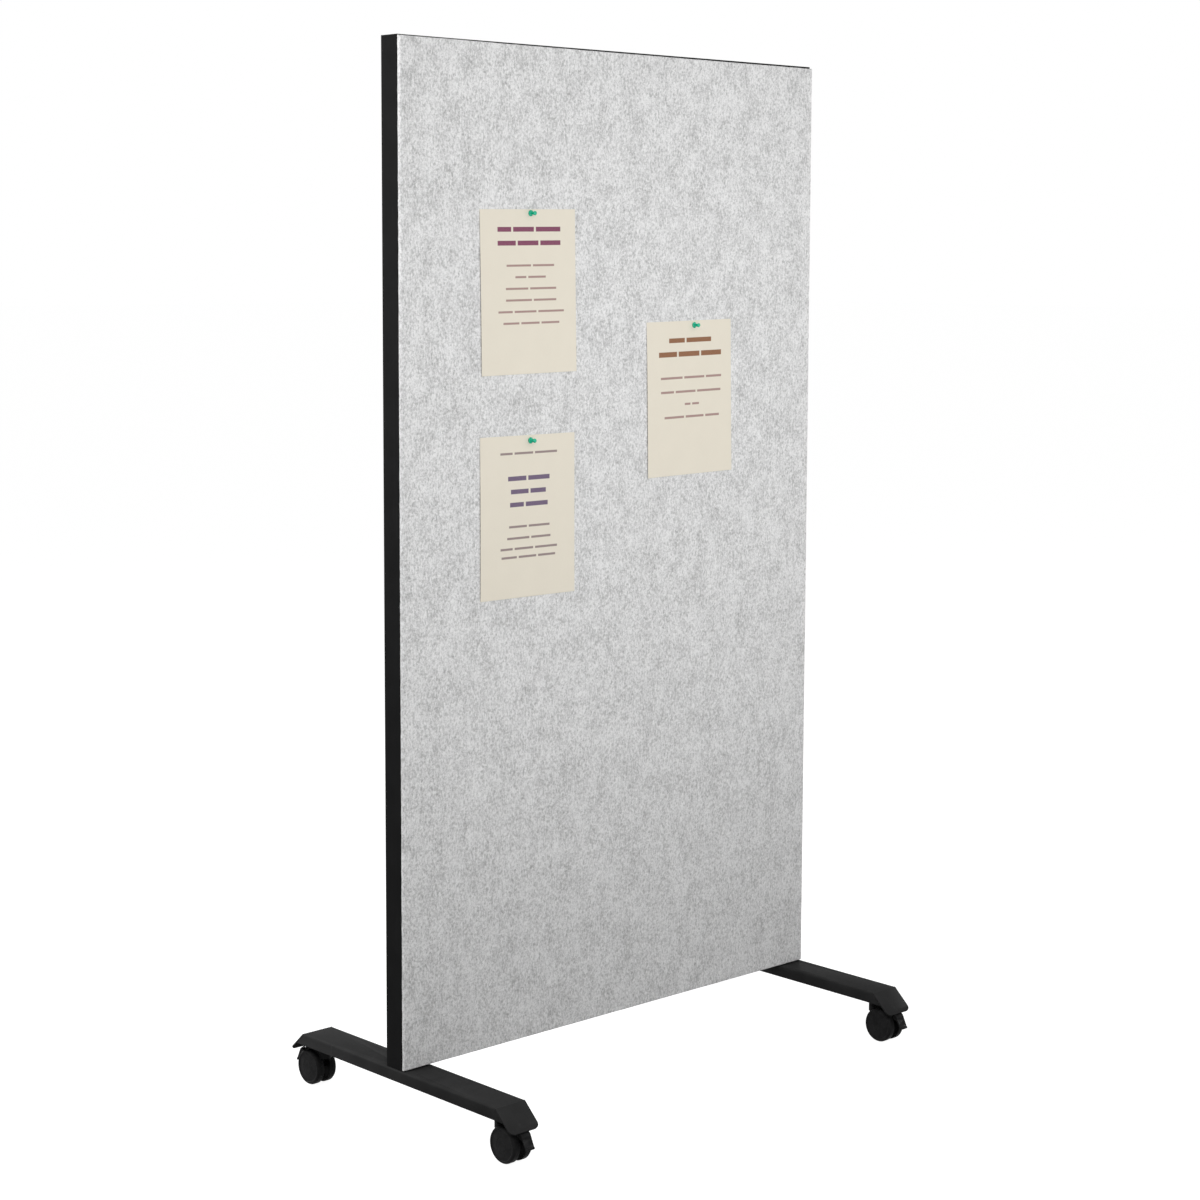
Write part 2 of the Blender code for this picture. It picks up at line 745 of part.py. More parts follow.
felt_edge_radius = 0.0012
sheet_width = 0.2159
sheet_height = 0.2794
sheet_thickness = 0.0003
sheet_lift = 0.004           # how far a sheet's lower corners stand off the felt
middle_lift_share = 0.35     # of that lift, halfway between the corners
needle_radius = 0.00055
needle_cover = 0.001         # felt left behind a needle's point
pin_length = 0.0125
pin_head_radius = 0.0038
pin_flange_radius = 0.0053
pin_waist_radius = 0.0021
pin_neck_share = 1.4         # of the waist's radius, where it meets the head and flange
pin_station_shares = (0.07, 0.22, 0.40, 0.58, 0.78, 0.88)
pin_crown_shares = (0.90, 0.84)

# Each pin: across the panel from its middle, up the felt, then across the sheet from
# its middle and down the sheet from its top
pinned_shares = {
    "upper_left": (-0.2159, 0.8369, 0.0265, 0.024),
    "middle_right": (0.1849, 0.7229, 0.0575, 0.030),
    "lower_left": (-0.2161, 0.6118, 0.0250, 0.034),
}
sheet_turns = {"upper_left": radians(0.8), "middle_right": radians(1.0), "lower_left": 0}

needle_hole_radius = needle_radius + seat_gap
sheet_back = felt_front - seat_gap
sheet_front = sheet_back - sheet_thickness
pin_seat = sheet_front - seat_gap
needle_length = felt_back - needle_cover - pin_seat


def pin_place(name):
    across_share, up_share, _, _ = pinned_shares[name]
    return (panel_width * across_share, felt_bottom + felt_height * up_share)


def build_felt(finish):
    side = panel_width / 2 - felt_side_inset
    eased = carved(
        "felt_body", slab((-side, felt_front, felt_bottom), (side, felt_back, felt_top)), bevel=felt_edge_radius
    )
    bm = bmesh.new()
    bm.from_mesh(eased)
    hole_end = pin_seat + needle_length + seat_gap
    holes = []
    for name in pinned_shares:
        x, z = pin_place(name)
        holes.append(rod(needle_hole_radius, felt_front - cut_overrun, hole_end, "Y", (x, 0, z), 8))
    place("felt_panel", carved("felt_panel", bm, cuts=holes), finish["felt_grey"])


def sheet_mesh(name):
    """A sheet that hangs from its pin at the origin and lifts a little towards its lower corners."""
    _, _, aside_share, drop_share = pinned_shares[name]
    columns, rows = 6, 8
    left = -sheet_width * (0.5 + aside_share)
    top = sheet_height * drop_share
    bm = bmesh.new()
    grid = []
    for r in range(rows + 1):
        down = r / rows
        line = []
        for c in range(columns + 1):
            sideways = 2 * c / columns - 1
            lift = sheet_lift * down ** 2 * (middle_lift_share + (1 - middle_lift_share) * sideways ** 2)
            point = (left + sheet_width * c / columns, sheet_back - lift, top - sheet_height * down)
            line.append(bm.verts.new(point))
        grid.append(line)
    for upper, lower in zip(grid, grid[1:]):
        for c in range(columns):
            bm.faces.new((upper[c], lower[c], lower[c + 1], upper[c + 1]))
    bmesh.ops.recalc_face_normals(bm, faces=bm.faces)
    bm.faces.ensure_lookup_table()
    if bm.faces[0].normal.y < 0:
        bmesh.ops.reverse_faces(bm, faces=bm.faces)
    hole = rod(needle_hole_radius, sheet_front - cut_overrun, sheet_back + cut_overrun, "Y", steps=8)
    return carved("sheet_" + name, bm, cuts=[hole], solidify=sheet_thickness)


def push_pin_mesh():
    """Moulded grip along -Y from the sheet, with its needle along +Y."""
    stations = [pin_length * share for share in pin_station_shares]
    neck = pin_waist_radius * pin_neck_share
    rise, crown = [pin_head_radius * share for share in pin_crown_shares]
    profile = [
        (0, -needle_length),
        (needle_radius, -needle_length + 2 * needle_radius),
        (needle_radius, 0),
        (pin_flange_radius, 0),
        (pin_flange_radius, stations[0]),
        (neck, stations[1]),
        (pin_waist_radius, stations[2]),
        (neck, stations[3]),
        (rise, stations[4]),
        (pin_head_radius, stations[5]),
        (crown, pin_length),
        (0, pin_length),
    ]
    bm = turned(profile, 14)
    bmesh.ops.rotate(bm, verts=bm.verts, matrix=Matrix.Rotation(pi / 2, 3, "X"))
    return mesh_from("push_pin", bm)


def build_pinned_sheets(finish):
    push_pin = push_pin_mesh()
    for name in pinned_shares:
        x, z = pin_place(name)
        turn = (0, -sheet_turns[name], 0)
        place("sheet_" + name, sheet_mesh(name), finish["sheet_cream"], (x, 0, z), rotation=turn)
        place("push_pin_" + name, push_pin, finish["pin_green"], (x, pin_seat, z))


def build():
    clear_scene()
    finish = make_materials()
    build_frame(finish)
    build_corner_keys(finish)
    build_core(finish)
    build_glass(finish)
    build_legs(finish)
    build_leg_bolts(finish)
    build_casters(finish)
    build_felt(finish)
    build_pinned_sheets(finish)


build()
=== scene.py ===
from math import acos, atan2, cos, hypot, pi, radians, sin, sqrt, tan

import bmesh
import bpy
from mathutils import Matrix, Vector, noise


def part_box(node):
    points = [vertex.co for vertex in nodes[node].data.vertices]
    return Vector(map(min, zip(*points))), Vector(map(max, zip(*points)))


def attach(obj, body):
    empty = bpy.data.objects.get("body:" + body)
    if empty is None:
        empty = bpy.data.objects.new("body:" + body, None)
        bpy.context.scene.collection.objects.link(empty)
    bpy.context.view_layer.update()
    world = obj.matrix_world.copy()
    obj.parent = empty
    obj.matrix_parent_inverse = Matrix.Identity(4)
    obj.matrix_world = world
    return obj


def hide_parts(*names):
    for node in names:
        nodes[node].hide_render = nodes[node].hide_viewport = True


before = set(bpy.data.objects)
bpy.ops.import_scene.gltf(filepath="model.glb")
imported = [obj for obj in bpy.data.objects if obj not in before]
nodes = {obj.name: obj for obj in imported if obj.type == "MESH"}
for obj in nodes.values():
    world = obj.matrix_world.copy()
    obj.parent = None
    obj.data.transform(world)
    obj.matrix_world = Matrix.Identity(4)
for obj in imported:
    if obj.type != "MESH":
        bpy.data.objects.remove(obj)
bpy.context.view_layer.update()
corners = ("front_left", "front_right", "rear_left", "rear_right")
pinned = ("upper_left", "middle_right", "lower_left")
print("frame loaded:", len(nodes), "nodes")


# Materials

class Wire:
    # One output socket of a material's node. Arithmetic on it adds Math or Vector Math nodes.
    def __init__(self, tree, socket=None):
        self.tree = tree
        self.socket = socket

    def node(self, kind, settings=None, values=None, output=0):
        made = self.tree.nodes.new(kind)
        for name, value in (settings or {}).items():
            setattr(made, name, value)
        for name, value in (values or {}).items():
            if isinstance(value, Wire):
                self.tree.links.new(value.socket, made.inputs[name])
            else:
                made.inputs[name].default_value = value
        return Wire(self.tree, made.outputs[output] if made.outputs else None)

    def maths(self, operation, first, second):
        terms = [first, second]
        if any(isinstance(term, Wire) and term.socket.type == "VECTOR" for term in terms):
            terms = [term if isinstance(term, (Wire, tuple)) else (term,) * 3 for term in terms]
            return self.node("ShaderNodeVectorMath", {"operation": operation}, dict(enumerate(terms)))
        return self.node("ShaderNodeMath", {"operation": operation}, dict(enumerate(terms)))

    def __add__(self, other):
        return self.maths("ADD", self, other)

    def __radd__(self, other):
        return self.maths("ADD", other, self)

    def __sub__(self, other):
        return self.maths("SUBTRACT", self, other)

    def __rsub__(self, other):
        return self.maths("SUBTRACT", other, self)

    def __mul__(self, other):
        return self.maths("MULTIPLY", self, other)

    def __rmul__(self, other):
        return self.maths("MULTIPLY", other, self)

    def __abs__(self):
        return self.node("ShaderNodeMath", {"operation": "ABSOLUTE"}, {0: self})

    def most(self, other):
        return self.maths("MAXIMUM", self, other)

    def over(self, low, high):
        # 0 below low, 1 above high, smooth between; low may be the higher of the two
        flipped = low > high
        low, high = min(low, high), max(low, high)
        step = self.node(
            "ShaderNodeMapRange",
            {"interpolation_type": "SMOOTHSTEP"},
            {"Value": self, "From Min": low, "From Max": high},
        )
        return 1 - step if flipped else step

    def part(self, axis):
        return self.node("ShaderNodeSeparateXYZ", values={0: self}, output="XYZ".index(axis))

    def noise(self, scale, detail=2.0, roughness=0.5, distortion=0.0, stretch=(1, 1, 1), shift=0.0):
        place = self * stretch + (shift, shift * 0.7, -shift)
        return place.node(
            "ShaderNodeTexNoise",
            values={
                "Vector": place, "Scale": scale, "Detail": detail,
                "Roughness": roughness, "Distortion": distortion,
            },
        )

    def tint(self, first, second):
        # The two colours mixed by this socket
        first, second = [
            value if isinstance(value, Wire) else (*value, 1) for value in (first, second)
        ]
        return self.node(
            "ShaderNodeMix",
            {"data_type": "RGBA"},
            {0: self, 6: first, 7: second},
            output=2,
        )


def startMaterial(name):
    material = bpy.data.materials.new(name)
    material.use_nodes = True
    here = Wire(material.node_tree).node("ShaderNodeTexCoord", output="Object")
    return material, here


def finishMaterial(material, values, relief):
    # relief is a list of (height wire, depth in metres)
    shader = material.node_tree.nodes["Principled BSDF"]
    tree = material.node_tree
    normal = None
    for height, depth in relief:
        bump = {"Strength": 1.0, "Distance": depth, "Height": height}
        if normal:
            bump["Normal"] = normal
        normal = height.node("ShaderNodeBump", values=bump)
    if normal:
        values = {**values, "Normal": normal}
    for name, value in values.items():
        if isinstance(value, Wire):
            tree.links.new(value.socket, shader.inputs[name])
        elif name == "Base Color":
            shader.inputs[name].default_value = (*value, 1)
        else:
            shader.inputs[name].default_value = value
    return material


def scaled(colour, factor):
    return tuple(part * factor for part in colour)


def paintedMetal(name, paint):
    # Powder coat or anodising: fine grain, slightly uneven gloss, faint rub marks
    colour = paint["colour"]
    material, here = startMaterial(name)
    fine = here.noise(paint["grain"], 2, 0.6)
    broad = here.noise(22, 3, 0.5, shift=4)
    rubs = here.noise(60, 4, 0.7, 0.4, (1, 1, 0.12), 8).over(0.60, 0.72)
    shade = (fine * 0.5 + broad * 0.5).over(0.3, 0.7)
    base = shade.tint(scaled(colour, 0.82), scaled(colour, 1.18))
    base = (rubs * 0.25).tint(base, scaled(colour, 1.9))
    gloss = paint["roughness"] - 0.05 + broad * 0.1 + rubs * 0.06
    return finishMaterial(
        material,
        {"Base Color": base, "Roughness": gloss, "Specular IOR Level": paint["specular"]},
        [(fine, paint["grainDepth"])],
    )


glassTone = {
    "white": ((0.80, 0.83, 0.82), (0.84, 0.865, 0.855)),
    "haze": (0.74, 0.76, 0.765),
    "cutEdge": (0.16, 0.42, 0.30),
    "edgeStart": 0.0012,         # in from the pane's edge, where the green starts
    "edgeFull": 0.0002,
    "waveDepth": 0.0002,
}


def glassMaterial():
    # White back-painted glass: a clear gloss over white, green where the pane is cut
    material, here = startMaterial("board_glass")
    low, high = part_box("glass_board")
    middle = (low + high) / 2
    half = (high - low) / 2
    across = abs(here.part("X") - middle.x)
    up = abs(here.part("Z") - middle.z)
    start, full = glassTone["edgeStart"], glassTone["edgeFull"]
    edge = across.over(half.x - start, half.x - full).most(up.over(half.z - start, half.z - full))
    cloud = here.noise(3, 2, 0.5)
    white = cloud.tint(*glassTone["white"])
    haze = here.noise(9, 4, 0.6, 1.2, (1, 1, 0.35), 3).over(0.52, 0.72)
    white = (haze * 0.12).tint(white, glassTone["haze"])
    colour = edge.tint(white, glassTone["cutEdge"])
    gloss = 0.05 + haze * 0.05
    return finishMaterial(
        material,
        {"Base Color": colour, "Roughness": gloss, "Coat Weight": 0.6, "Coat Roughness": 0.03},
        [(here.noise(2.2, 1, 0.4), glassTone["waveDepth"])],
    )


lineDepth = 0.00001              # of the rolling or turning lines
# stretch is along those lines, and crystals is how many there are in a metre
brightMetals = {
    "zinc": {"colour": (0.62, 0.62, 0.64), "roughness": 0.28, "stretch": (1, 1, 0.05), "crystals": 700},
    "key_alloy": {"colour": (0.60, 0.60, 0.61), "roughness": 0.42, "stretch": (1, 0.05, 1), "crystals": 90},
    "backer_steel": {
        "colour": (0.55, 0.55, 0.56), "roughness": 0.36, "stretch": (0.04, 1, 1), "crystals": 120,
    },
}


def brightMetal(name):
    # Zinc plate, mill aluminium or steel sheet: crystals or rolling lines, and a few stains
    metal = brightMetals[name]
    colour = metal["colour"]
    material, here = startMaterial(name)
    lines = here.noise(900, 3, 0.6, stretch=metal["stretch"])
    crystals = {"Vector": here, "Scale": metal["crystals"]}
    spangle = here.node("ShaderNodeTexVoronoi", values=crystals, output="Color")
    grey = spangle.part("X")
    stain = here.noise(45, 4, 0.6, shift=4).over(0.52, 0.75)
    base = (lines * 0.5 + grey * 0.5).tint(scaled(colour, 0.86), scaled(colour, 1.08))
    base = (stain * 0.3).tint(base, scaled(colour, 0.6))
    gloss = metal["roughness"] + grey * 0.10 + stain * 0.12
    return finishMaterial(
        material, {"Base Color": base, "Metallic": 1.0, "Roughness": gloss}, [(lines, lineDepth)]
    )


honeycombTone = {
    "paper": ((0.40, 0.28, 0.16), (0.56, 0.42, 0.26)),
    "walls": (0.30, 0.20, 0.11),
    "cells": 75.0,               # in a metre
    "fibreDepth": 0.00006,
    "wallDepth": 0.0002,
}


def honeycombMaterial():
    # Kraft paper facing, with the cells showing faintly through it
    tone = honeycombTone
    material, here = startMaterial("honeycomb")
    cells = here.node(
        "ShaderNodeTexVoronoi",
        {"feature": "DISTANCE_TO_EDGE"},
        {"Vector": here, "Scale": tone["cells"], "Randomness": 0.25},
    )
    walls = cells.over(0.10, 0.02)
    fibres = here.noise(420, 4, 0.7, 0.4, (1, 1, 0.3))
    base = fibres.tint(*tone["paper"])
    base = (walls * 0.45).tint(base, tone["walls"])
    relief = [(fibres, tone["fibreDepth"]), (walls, tone["wallDepth"])]
    return finishMaterial(material, {"Base Color": base, "Roughness": 0.9 - walls * 0.1}, relief)


# Mesh helpers

mergeDistance = 0.000001


def arc(centre, radius, start, end, steps):
    turn = (end - start) / steps
    return [
        (centre[0] + radius * cos(start + turn * i), centre[1] + radius * sin(start + turn * i))
        for i in range(steps + 1)
    ]


def fillet(outline, radius, steps=4, picked=None, closed=True):
    # The outline with its corners, or only those picked, rounded; radius may be a list, one per corner
    rounded = []
    last = len(outline) - 1
    for i, corner in enumerate(outline):
        size = radius[i] if isinstance(radius, (list, tuple)) else radius
        ends = not closed and i in (0, last)
        if ends or not size or (picked is not None and i not in picked):
            rounded.append(corner)
            continue
        here = Vector(corner)
        back = (Vector(outline[i - 1]) - here).normalized()
        on = (Vector(outline[(i + 1) % len(outline)]) - here).normalized()
        half = acos(max(-1.0, min(1.0, back.dot(on)))) / 2
        centre = here + (back + on).normalized() * (size / sin(half))
        first = here + back * (size / tan(half)) - centre
        final = here + on * (size / tan(half)) - centre
        start = atan2(first.y, first.x)
        sweep = atan2(final.y, final.x) - start
        sweep -= 2 * pi * round(sweep / (2 * pi))
        rounded += arc(centre, size, start, start + sweep, steps)
    return rounded


def prism(outline, axis, low, high):
    # The outline's own two axes are the other two, in their order
    spot = {
        "X": lambda a, b, depth: (depth, a, b),
        "Y": lambda a, b, depth: (a, depth, b),
        "Z": lambda a, b, depth: (a, b, depth),
    }[axis]
    mesh = bmesh.new()
    face = mesh.faces.new([mesh.verts.new(spot(a, b, low)) for a, b in outline])
    grown = bmesh.ops.extrude_face_region(mesh, geom=[face])["geom"]
    moved = [item for item in grown if isinstance(item, bmesh.types.BMVert)]
    bmesh.ops.translate(mesh, verts=moved, vec=Vector(spot(0, 0, high - low)))
    bmesh.ops.recalc_face_normals(mesh, faces=mesh.faces)
    return mesh


def turned(profile, steps, axis="Z", centre=(0, 0, 0)):
    # A solid of revolution from (radius, height) points that start and end on the axis
    mesh = bmesh.new()
    line = [mesh.verts.new((radius, 0, height)) for radius, height in profile]
    edges = [mesh.edges.new(pair) for pair in zip(line, line[1:])]
    whole = {"cent": (0, 0, 0), "axis": (0, 0, 1), "angle": 2 * pi, "use_merge": True}
    bmesh.ops.spin(mesh, geom=line + edges, steps=steps, **whole)
    bmesh.ops.remove_doubles(mesh, verts=mesh.verts, dist=mergeDistance)
    lay = {"X": Matrix.Rotation(pi / 2, 3, "Y"), "Y": Matrix.Rotation(-pi / 2, 3, "X"), "Z": Matrix()}
    bmesh.ops.rotate(mesh, verts=mesh.verts, matrix=lay[axis])
    bmesh.ops.translate(mesh, verts=mesh.verts, vec=centre)
    bmesh.ops.recalc_face_normals(mesh, faces=mesh.faces)
    return mesh


def rod(radius, low, high, axis="Z", centre=(0, 0, 0), steps=32):
    return turned([(0, low), (radius, low), (radius, high), (0, high)], steps, axis, centre)


def toMesh(name, shape):
    mesh = bpy.data.meshes.new(name)
    shape.to_mesh(mesh)
    shape.free()
    return mesh


def carved(name, body, joins=(), cuts=(), ease=0.0, sheet=0.0, easeAngle=38):
    # The body with shapes joined on and cut away, then its sharp edges eased
    piece = bpy.data.objects.new(name, toMesh(name, body))
    scene.collection.objects.link(piece)
    helpers = []
    if sheet:
        shell = piece.modifiers.new("sheet", "SOLIDIFY")
        shell.thickness = sheet
        shell.offset = -1
        shell.use_even_offset = True
    for operation, shapes in (("UNION", joins), ("DIFFERENCE", cuts)):
        for shape in shapes:
            helper = bpy.data.objects.new(name + "_tool", toMesh(name + "_tool", shape))
            scene.collection.objects.link(helper)
            helpers.append(helper)
            boolean = piece.modifiers.new(operation.lower(), "BOOLEAN")
            boolean.operation = operation
            boolean.solver = "EXACT"
            boolean.object = helper
    if ease:
        easing = piece.modifiers.new("easing", "BEVEL")
        easing.width = ease
        easing.segments = 3
        easing.limit_method = "ANGLE"
        easing.angle_limit = radians(easeAngle)
        easing.harden_normals = True
    graph = bpy.context.evaluated_depsgraph_get()
    graph.update()
    mesh = bpy.data.meshes.new_from_object(piece.evaluated_get(graph))
    mesh.name = name
    for old in [piece, *helpers]:
        bpy.data.objects.remove(old, do_unlink=True)
    return mesh


def addPiece(name, mesh, material, body, node=None, place=None, sharp=35):
    piece = bpy.data.objects.new(name, mesh)
    scene.collection.objects.link(piece)
    if not mesh.materials:
        mesh.materials.append(material)
        mesh.shade_smooth()
        mesh.set_sharp_from_angle(angle=radians(sharp))
    if place:
        piece.matrix_world = place
    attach(piece, body)
    if node:
        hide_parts(node)
    return piece


scene = bpy.context.scene
scene.view_settings.view_transform = "Standard"


# Felt face

felt = {
    "edgeRadius": 0.0022,        # soft front edge
    "edgeSteps": (0, 0.0004, 0.001, 0.0018, 0.0028, 0.0045, 0.008),
    "cell": 0.014,
    "waviness": 0.00016,
    "waveScale": 9,
    "edgeFray": 0.00022,
    "fraySeed": 5,               # without a seed, noise vectors differ from run to run
    "frayScales": (70, 300),     # coarse and fine
    "frayStretch": 3,            # how much faster the edge wanders through the thickness
    "frayLimit": 0.0004,
    "backShares": (0.33, 0.66, 1.0),
    "topSlant": 0.0005,          # the top edge stands higher on the left than on the right
}


feltTone = {
    "pale": (0.79, 0.79, 0.79),
    "dark": (0.37, 0.37, 0.37),
    "spread": (0.365, 0.59),     # of the mottle, from all dark to all pale
    "fleckSize": 0.0042,         # metres, across; flecks are longer upright
    "wander": 0.004,             # how far the tangle bends, in metres
    "paleFibre": (0.93, 0.93, 0.93),
    "paleShare": 0.23,
    "darkFibre": (0.25, 0.25, 0.25),
    "darkShare": 0.31,
    "fibreWidth": 0.045,         # as a share of the noise around its middle
    "fibreDepth": 0.00012,
}
# Noise scale, stretch and shift of each layer of fibres; the last layer is the dark one
feltFibres = ((170, (1, 1, 0.45), 2), (190, (0.5, 1, 1), 5), (240, (0.8, 1, 0.7), 9))


def feltMaterial():
    # Pressed grey felt: pale and dark fibres in a tangle, darker flecks, faint upright clouds
    tone = feltTone
    material, here = startMaterial("felt_grey")
    bend = here.noise(90, 2, shift=3.1) - 0.5
    tangle = here + (here * (0, 0, 0) + 1) * bend * tone["wander"]
    flecks = tangle.noise(1 / tone["fleckSize"], 3, 0.75, stretch=(1, 1, 0.85))
    brushed = tangle.noise(330, 2, 0.6, stretch=(1.1, 1, 0.32), shift=5.3)
    clouds = tangle.noise(24, 4, 0.95, stretch=(1, 1, 0.7), shift=1.7)
    strands = [
        abs(tangle.noise(scale, 1, 0.4, 0.6, stretch, shift) - 0.5).over(tone["fibreWidth"], 0.0)
        for scale, stretch, shift in feltFibres
    ]
    mottle = flecks * 0.44 + brushed * 0.22 + clouds * 0.34
    colour = mottle.over(*tone["spread"]).tint(tone["dark"], tone["pale"])
    colour = (strands[0].most(strands[1]) * tone["paleShare"]).tint(colour, tone["paleFibre"])
    colour = (strands[2] * tone["darkShare"]).tint(colour, tone["darkFibre"])
    height = flecks * 0.6 + strands[0].most(strands[1]) * 0.6
    return finishMaterial(
        material,
        {
            "Base Color": colour, "Roughness": 0.95, "Specular IOR Level": 0.15, "Sheen Weight": 0.2,
            "Sheen Roughness": 0.6,
        },
        [(height, tone["fibreDepth"])],
    )


def stations(low, high, steps, cell):
    # Places along the felt: close steps at both ends, cells between
    inner = [low + step for step in steps]
    outer = [high - step for step in reversed(steps)]
    count = round((outer[0] - inner[-1]) / cell)
    between = [inner[-1] + (outer[0] - inner[-1]) * i / count for i in range(1, count)]
    return inner + between + outer


def feltMesh():
    noise.seed_set(felt["fraySeed"])
    low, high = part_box("felt_panel")
    radius = felt["edgeRadius"]
    xs = stations(low.x, high.x, felt["edgeSteps"], felt["cell"])
    zs = stations(low.z, high.z, felt["edgeSteps"], felt["cell"])
    middle = (low.z + high.z) / 2
    half = (high.z - low.z) / 2

    def frayed(x, y, z):
        # the pressed edge isn't ruled: it wanders by a fraction of a millimetre
        spot = Vector((x, y * felt["frayStretch"], z))
        coarse, fine = [noise.noise_vector(spot * scale) for scale in felt["frayScales"]]
        way = coarse + fine
        slant = felt["topSlant"] * -x / high.x * max(0, (z - middle) / half)
        return Vector((x, y, z + slant)) + Vector((way.x, 0, way.z)) * felt["edgeFray"]

    mesh = bmesh.new()
    grid = []
    for z in zs:
        row = []
        for x in xs:
            aside = max(0, radius - min(x - low.x, high.x - x))
            above = max(0, radius - min(z - low.z, high.z - z))
            drop = radius - sqrt(max(0, radius ** 2 - min(radius, hypot(aside, above)) ** 2))
            wave = noise.noise(Vector((x, 0, z)) * felt["waveScale"]) * felt["waviness"]
            row.append(mesh.verts.new(frayed(x, low.y + drop + max(0, wave), z)))
        grid.append(row)
    for lower, upper in zip(grid, grid[1:]):
        for i in range(len(xs) - 1):
            mesh.faces.new((lower[i], lower[i + 1], upper[i + 1], upper[i]))
    right, left = [row[-1] for row in grid[1:]], [row[0] for row in grid[-2:0:-1]]
    ring = grid[0][:] + right + grid[-1][-2::-1] + left
    depths = [low.y + radius + (high.y - low.y - radius) * share for share in felt["backShares"]]
    for depth in depths:
        fresh = []
        for vert in ring:
            spot = frayed(vert.co.x, depth, vert.co.z) if depth < high.y else vert.co
            rise = max(-felt["frayLimit"], min(felt["frayLimit"], spot.z - vert.co.z))
            fresh.append(mesh.verts.new((spot.x, depth, vert.co.z + rise)))
        for i in range(len(ring)):
            j = (i + 1) % len(ring)
            mesh.faces.new((ring[i], ring[j], fresh[j], fresh[i]))
        ring = fresh
    mesh.faces.new(ring)
    bmesh.ops.recalc_face_normals(mesh, faces=mesh.faces)
    return toMesh("felt_face", mesh)


addPiece("felt_face", feltMesh(), feltMaterial(), "board", "felt_panel", sharp=60)
print("felt face made")


# Pinned sheets and their pins

paper = {
    "width": 0.2159,
    "height": 0.2794,
    "thickness": 0.0002,
    "columns": 26,
    "rows": 34,
    "seatGap": 0.0003,           # off the felt
    "tones": ((0.690, 0.642, 0.545), (0.770, 0.720, 0.615)),
    "pulpDepth": 0.00003,
    "lift": 0.0009,              # of the lower corners off the felt
    "middleLift": 0.35,          # of the lower edge's middle, as a share of the corners'
    "ripple": 0.0003,
    "rippleShape": (1.3, 1.6),   # noise scale from the middle to a side, and from top to bottom
    "rippleStep": 2.3,           # apart, so that each sheet ripples in its own way
    "leftLift": 0.0010,          # of the left edge, most at mid height
}
# How far each pin is across the sheet from its middle and down from its top, and the sheet's tilt
hangs = {
    "upper_left": (0.0265, 0.024, 0.8),
    "middle_right": (0.0575, 0.030, 1.0),
    "lower_left": (0.0250, 0.034, 0.0),
}
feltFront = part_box("felt_panel")[0].y

# Printed lines of each sheet, as plain bars: left, right, middle and height as shares of the sheet
printInks = {
    "maroon": (0.190, 0.042, 0.100), "brown": (0.235, 0.100, 0.045), "violet": (0.130, 0.090, 0.165),
    "grey": (0.350, 0.235, 0.215), "slate": (0.270, 0.210, 0.205),
}
printedBars = {
    "upper_left": [
        ("maroon", 0.18, 0.84, 0.121, 0.029), ("maroon", 0.18, 0.84, 0.204, 0.029),
        ("grey", 0.27, 0.77, 0.340, 0.013), ("grey", 0.36, 0.68, 0.410, 0.013),
        ("grey", 0.26, 0.79, 0.480, 0.013), ("grey", 0.26, 0.79, 0.550, 0.013),
        ("grey", 0.18, 0.87, 0.620, 0.013), ("grey", 0.23, 0.82, 0.690, 0.013),
    ],
    "middle_right": [
        ("brown", 0.26, 0.76, 0.125, 0.030), ("brown", 0.14, 0.88, 0.214, 0.033),
        ("grey", 0.16, 0.88, 0.367, 0.015), ("grey", 0.16, 0.87, 0.458, 0.015),
        ("grey", 0.44, 0.61, 0.540, 0.014), ("grey", 0.20, 0.85, 0.622, 0.015),
    ],
    "lower_left": [
        ("slate", 0.21, 0.81, 0.109, 0.014), ("violet", 0.29, 0.73, 0.263, 0.028),
        ("violet", 0.32, 0.69, 0.344, 0.028), ("violet", 0.31, 0.71, 0.424, 0.028),
        ("slate", 0.30, 0.73, 0.560, 0.014), ("slate", 0.28, 0.74, 0.631, 0.014),
        ("slate", 0.21, 0.81, 0.696, 0.014), ("slate", 0.22, 0.79, 0.748, 0.014),
    ],
}
# Where a bar breaks, as shares of its length, so that each length stands for a word
printBreaks = {
    "long": (0.30, 0.66),
    "short": (0.46,),
    "longFrom": 0.55,            # of the sheet's width
    "lean": 0.07,                # how far the breaks shift from line to line
    "gap": 0.0022,
    "soft": 0.0004,
}


def paperMaterial(name, bars):
    # Laid out in the sheet's own flat coordinates: X across, Z up, its top left corner at the origin
    material, here = startMaterial("sheet_cream_" + name)
    pulp = here.noise(700, 4, 0.65, 0.3, (1, 1, 0.6))
    cloud = here.noise(24, 2, 0.5, shift=5)
    base = (pulp * 0.6 + cloud * 0.4).tint(*paper["tones"])
    x, z = here.part("X"), here.part("Z")
    soft, gap = printBreaks["soft"], printBreaks["gap"]
    inked = here.noise(1500, 2, 0.6, shift=2) * 0.3 + 0.8
    for rank, (ink, left, right, level, height) in enumerate(bars):
        middle = paper["width"] * (left + right) / 2
        halfWide = paper["width"] * (right - left) / 2
        halfHigh = paper["height"] * height / 2
        within = abs(x - middle).over(halfWide + soft, halfWide - soft)
        within = within * abs(z + paper["height"] * level).over(halfHigh + soft, halfHigh - soft)
        lean = printBreaks["lean"] * (rank % 3 - 1)
        kind = "long" if right - left > printBreaks["longFrom"] else "short"
        for share in printBreaks[kind]:
            place = middle + halfWide * (2 * (share + lean) - 1)
            within = within * abs(x - place).over(gap - soft, gap + soft)
        base = (within * inked).tint(base, printInks[ink])
    return finishMaterial(
        material,
        {"Base Color": base, "Roughness": 0.86, "Specular IOR Level": 0.25},
        [(pulp, paper["pulpDepth"])],
    )


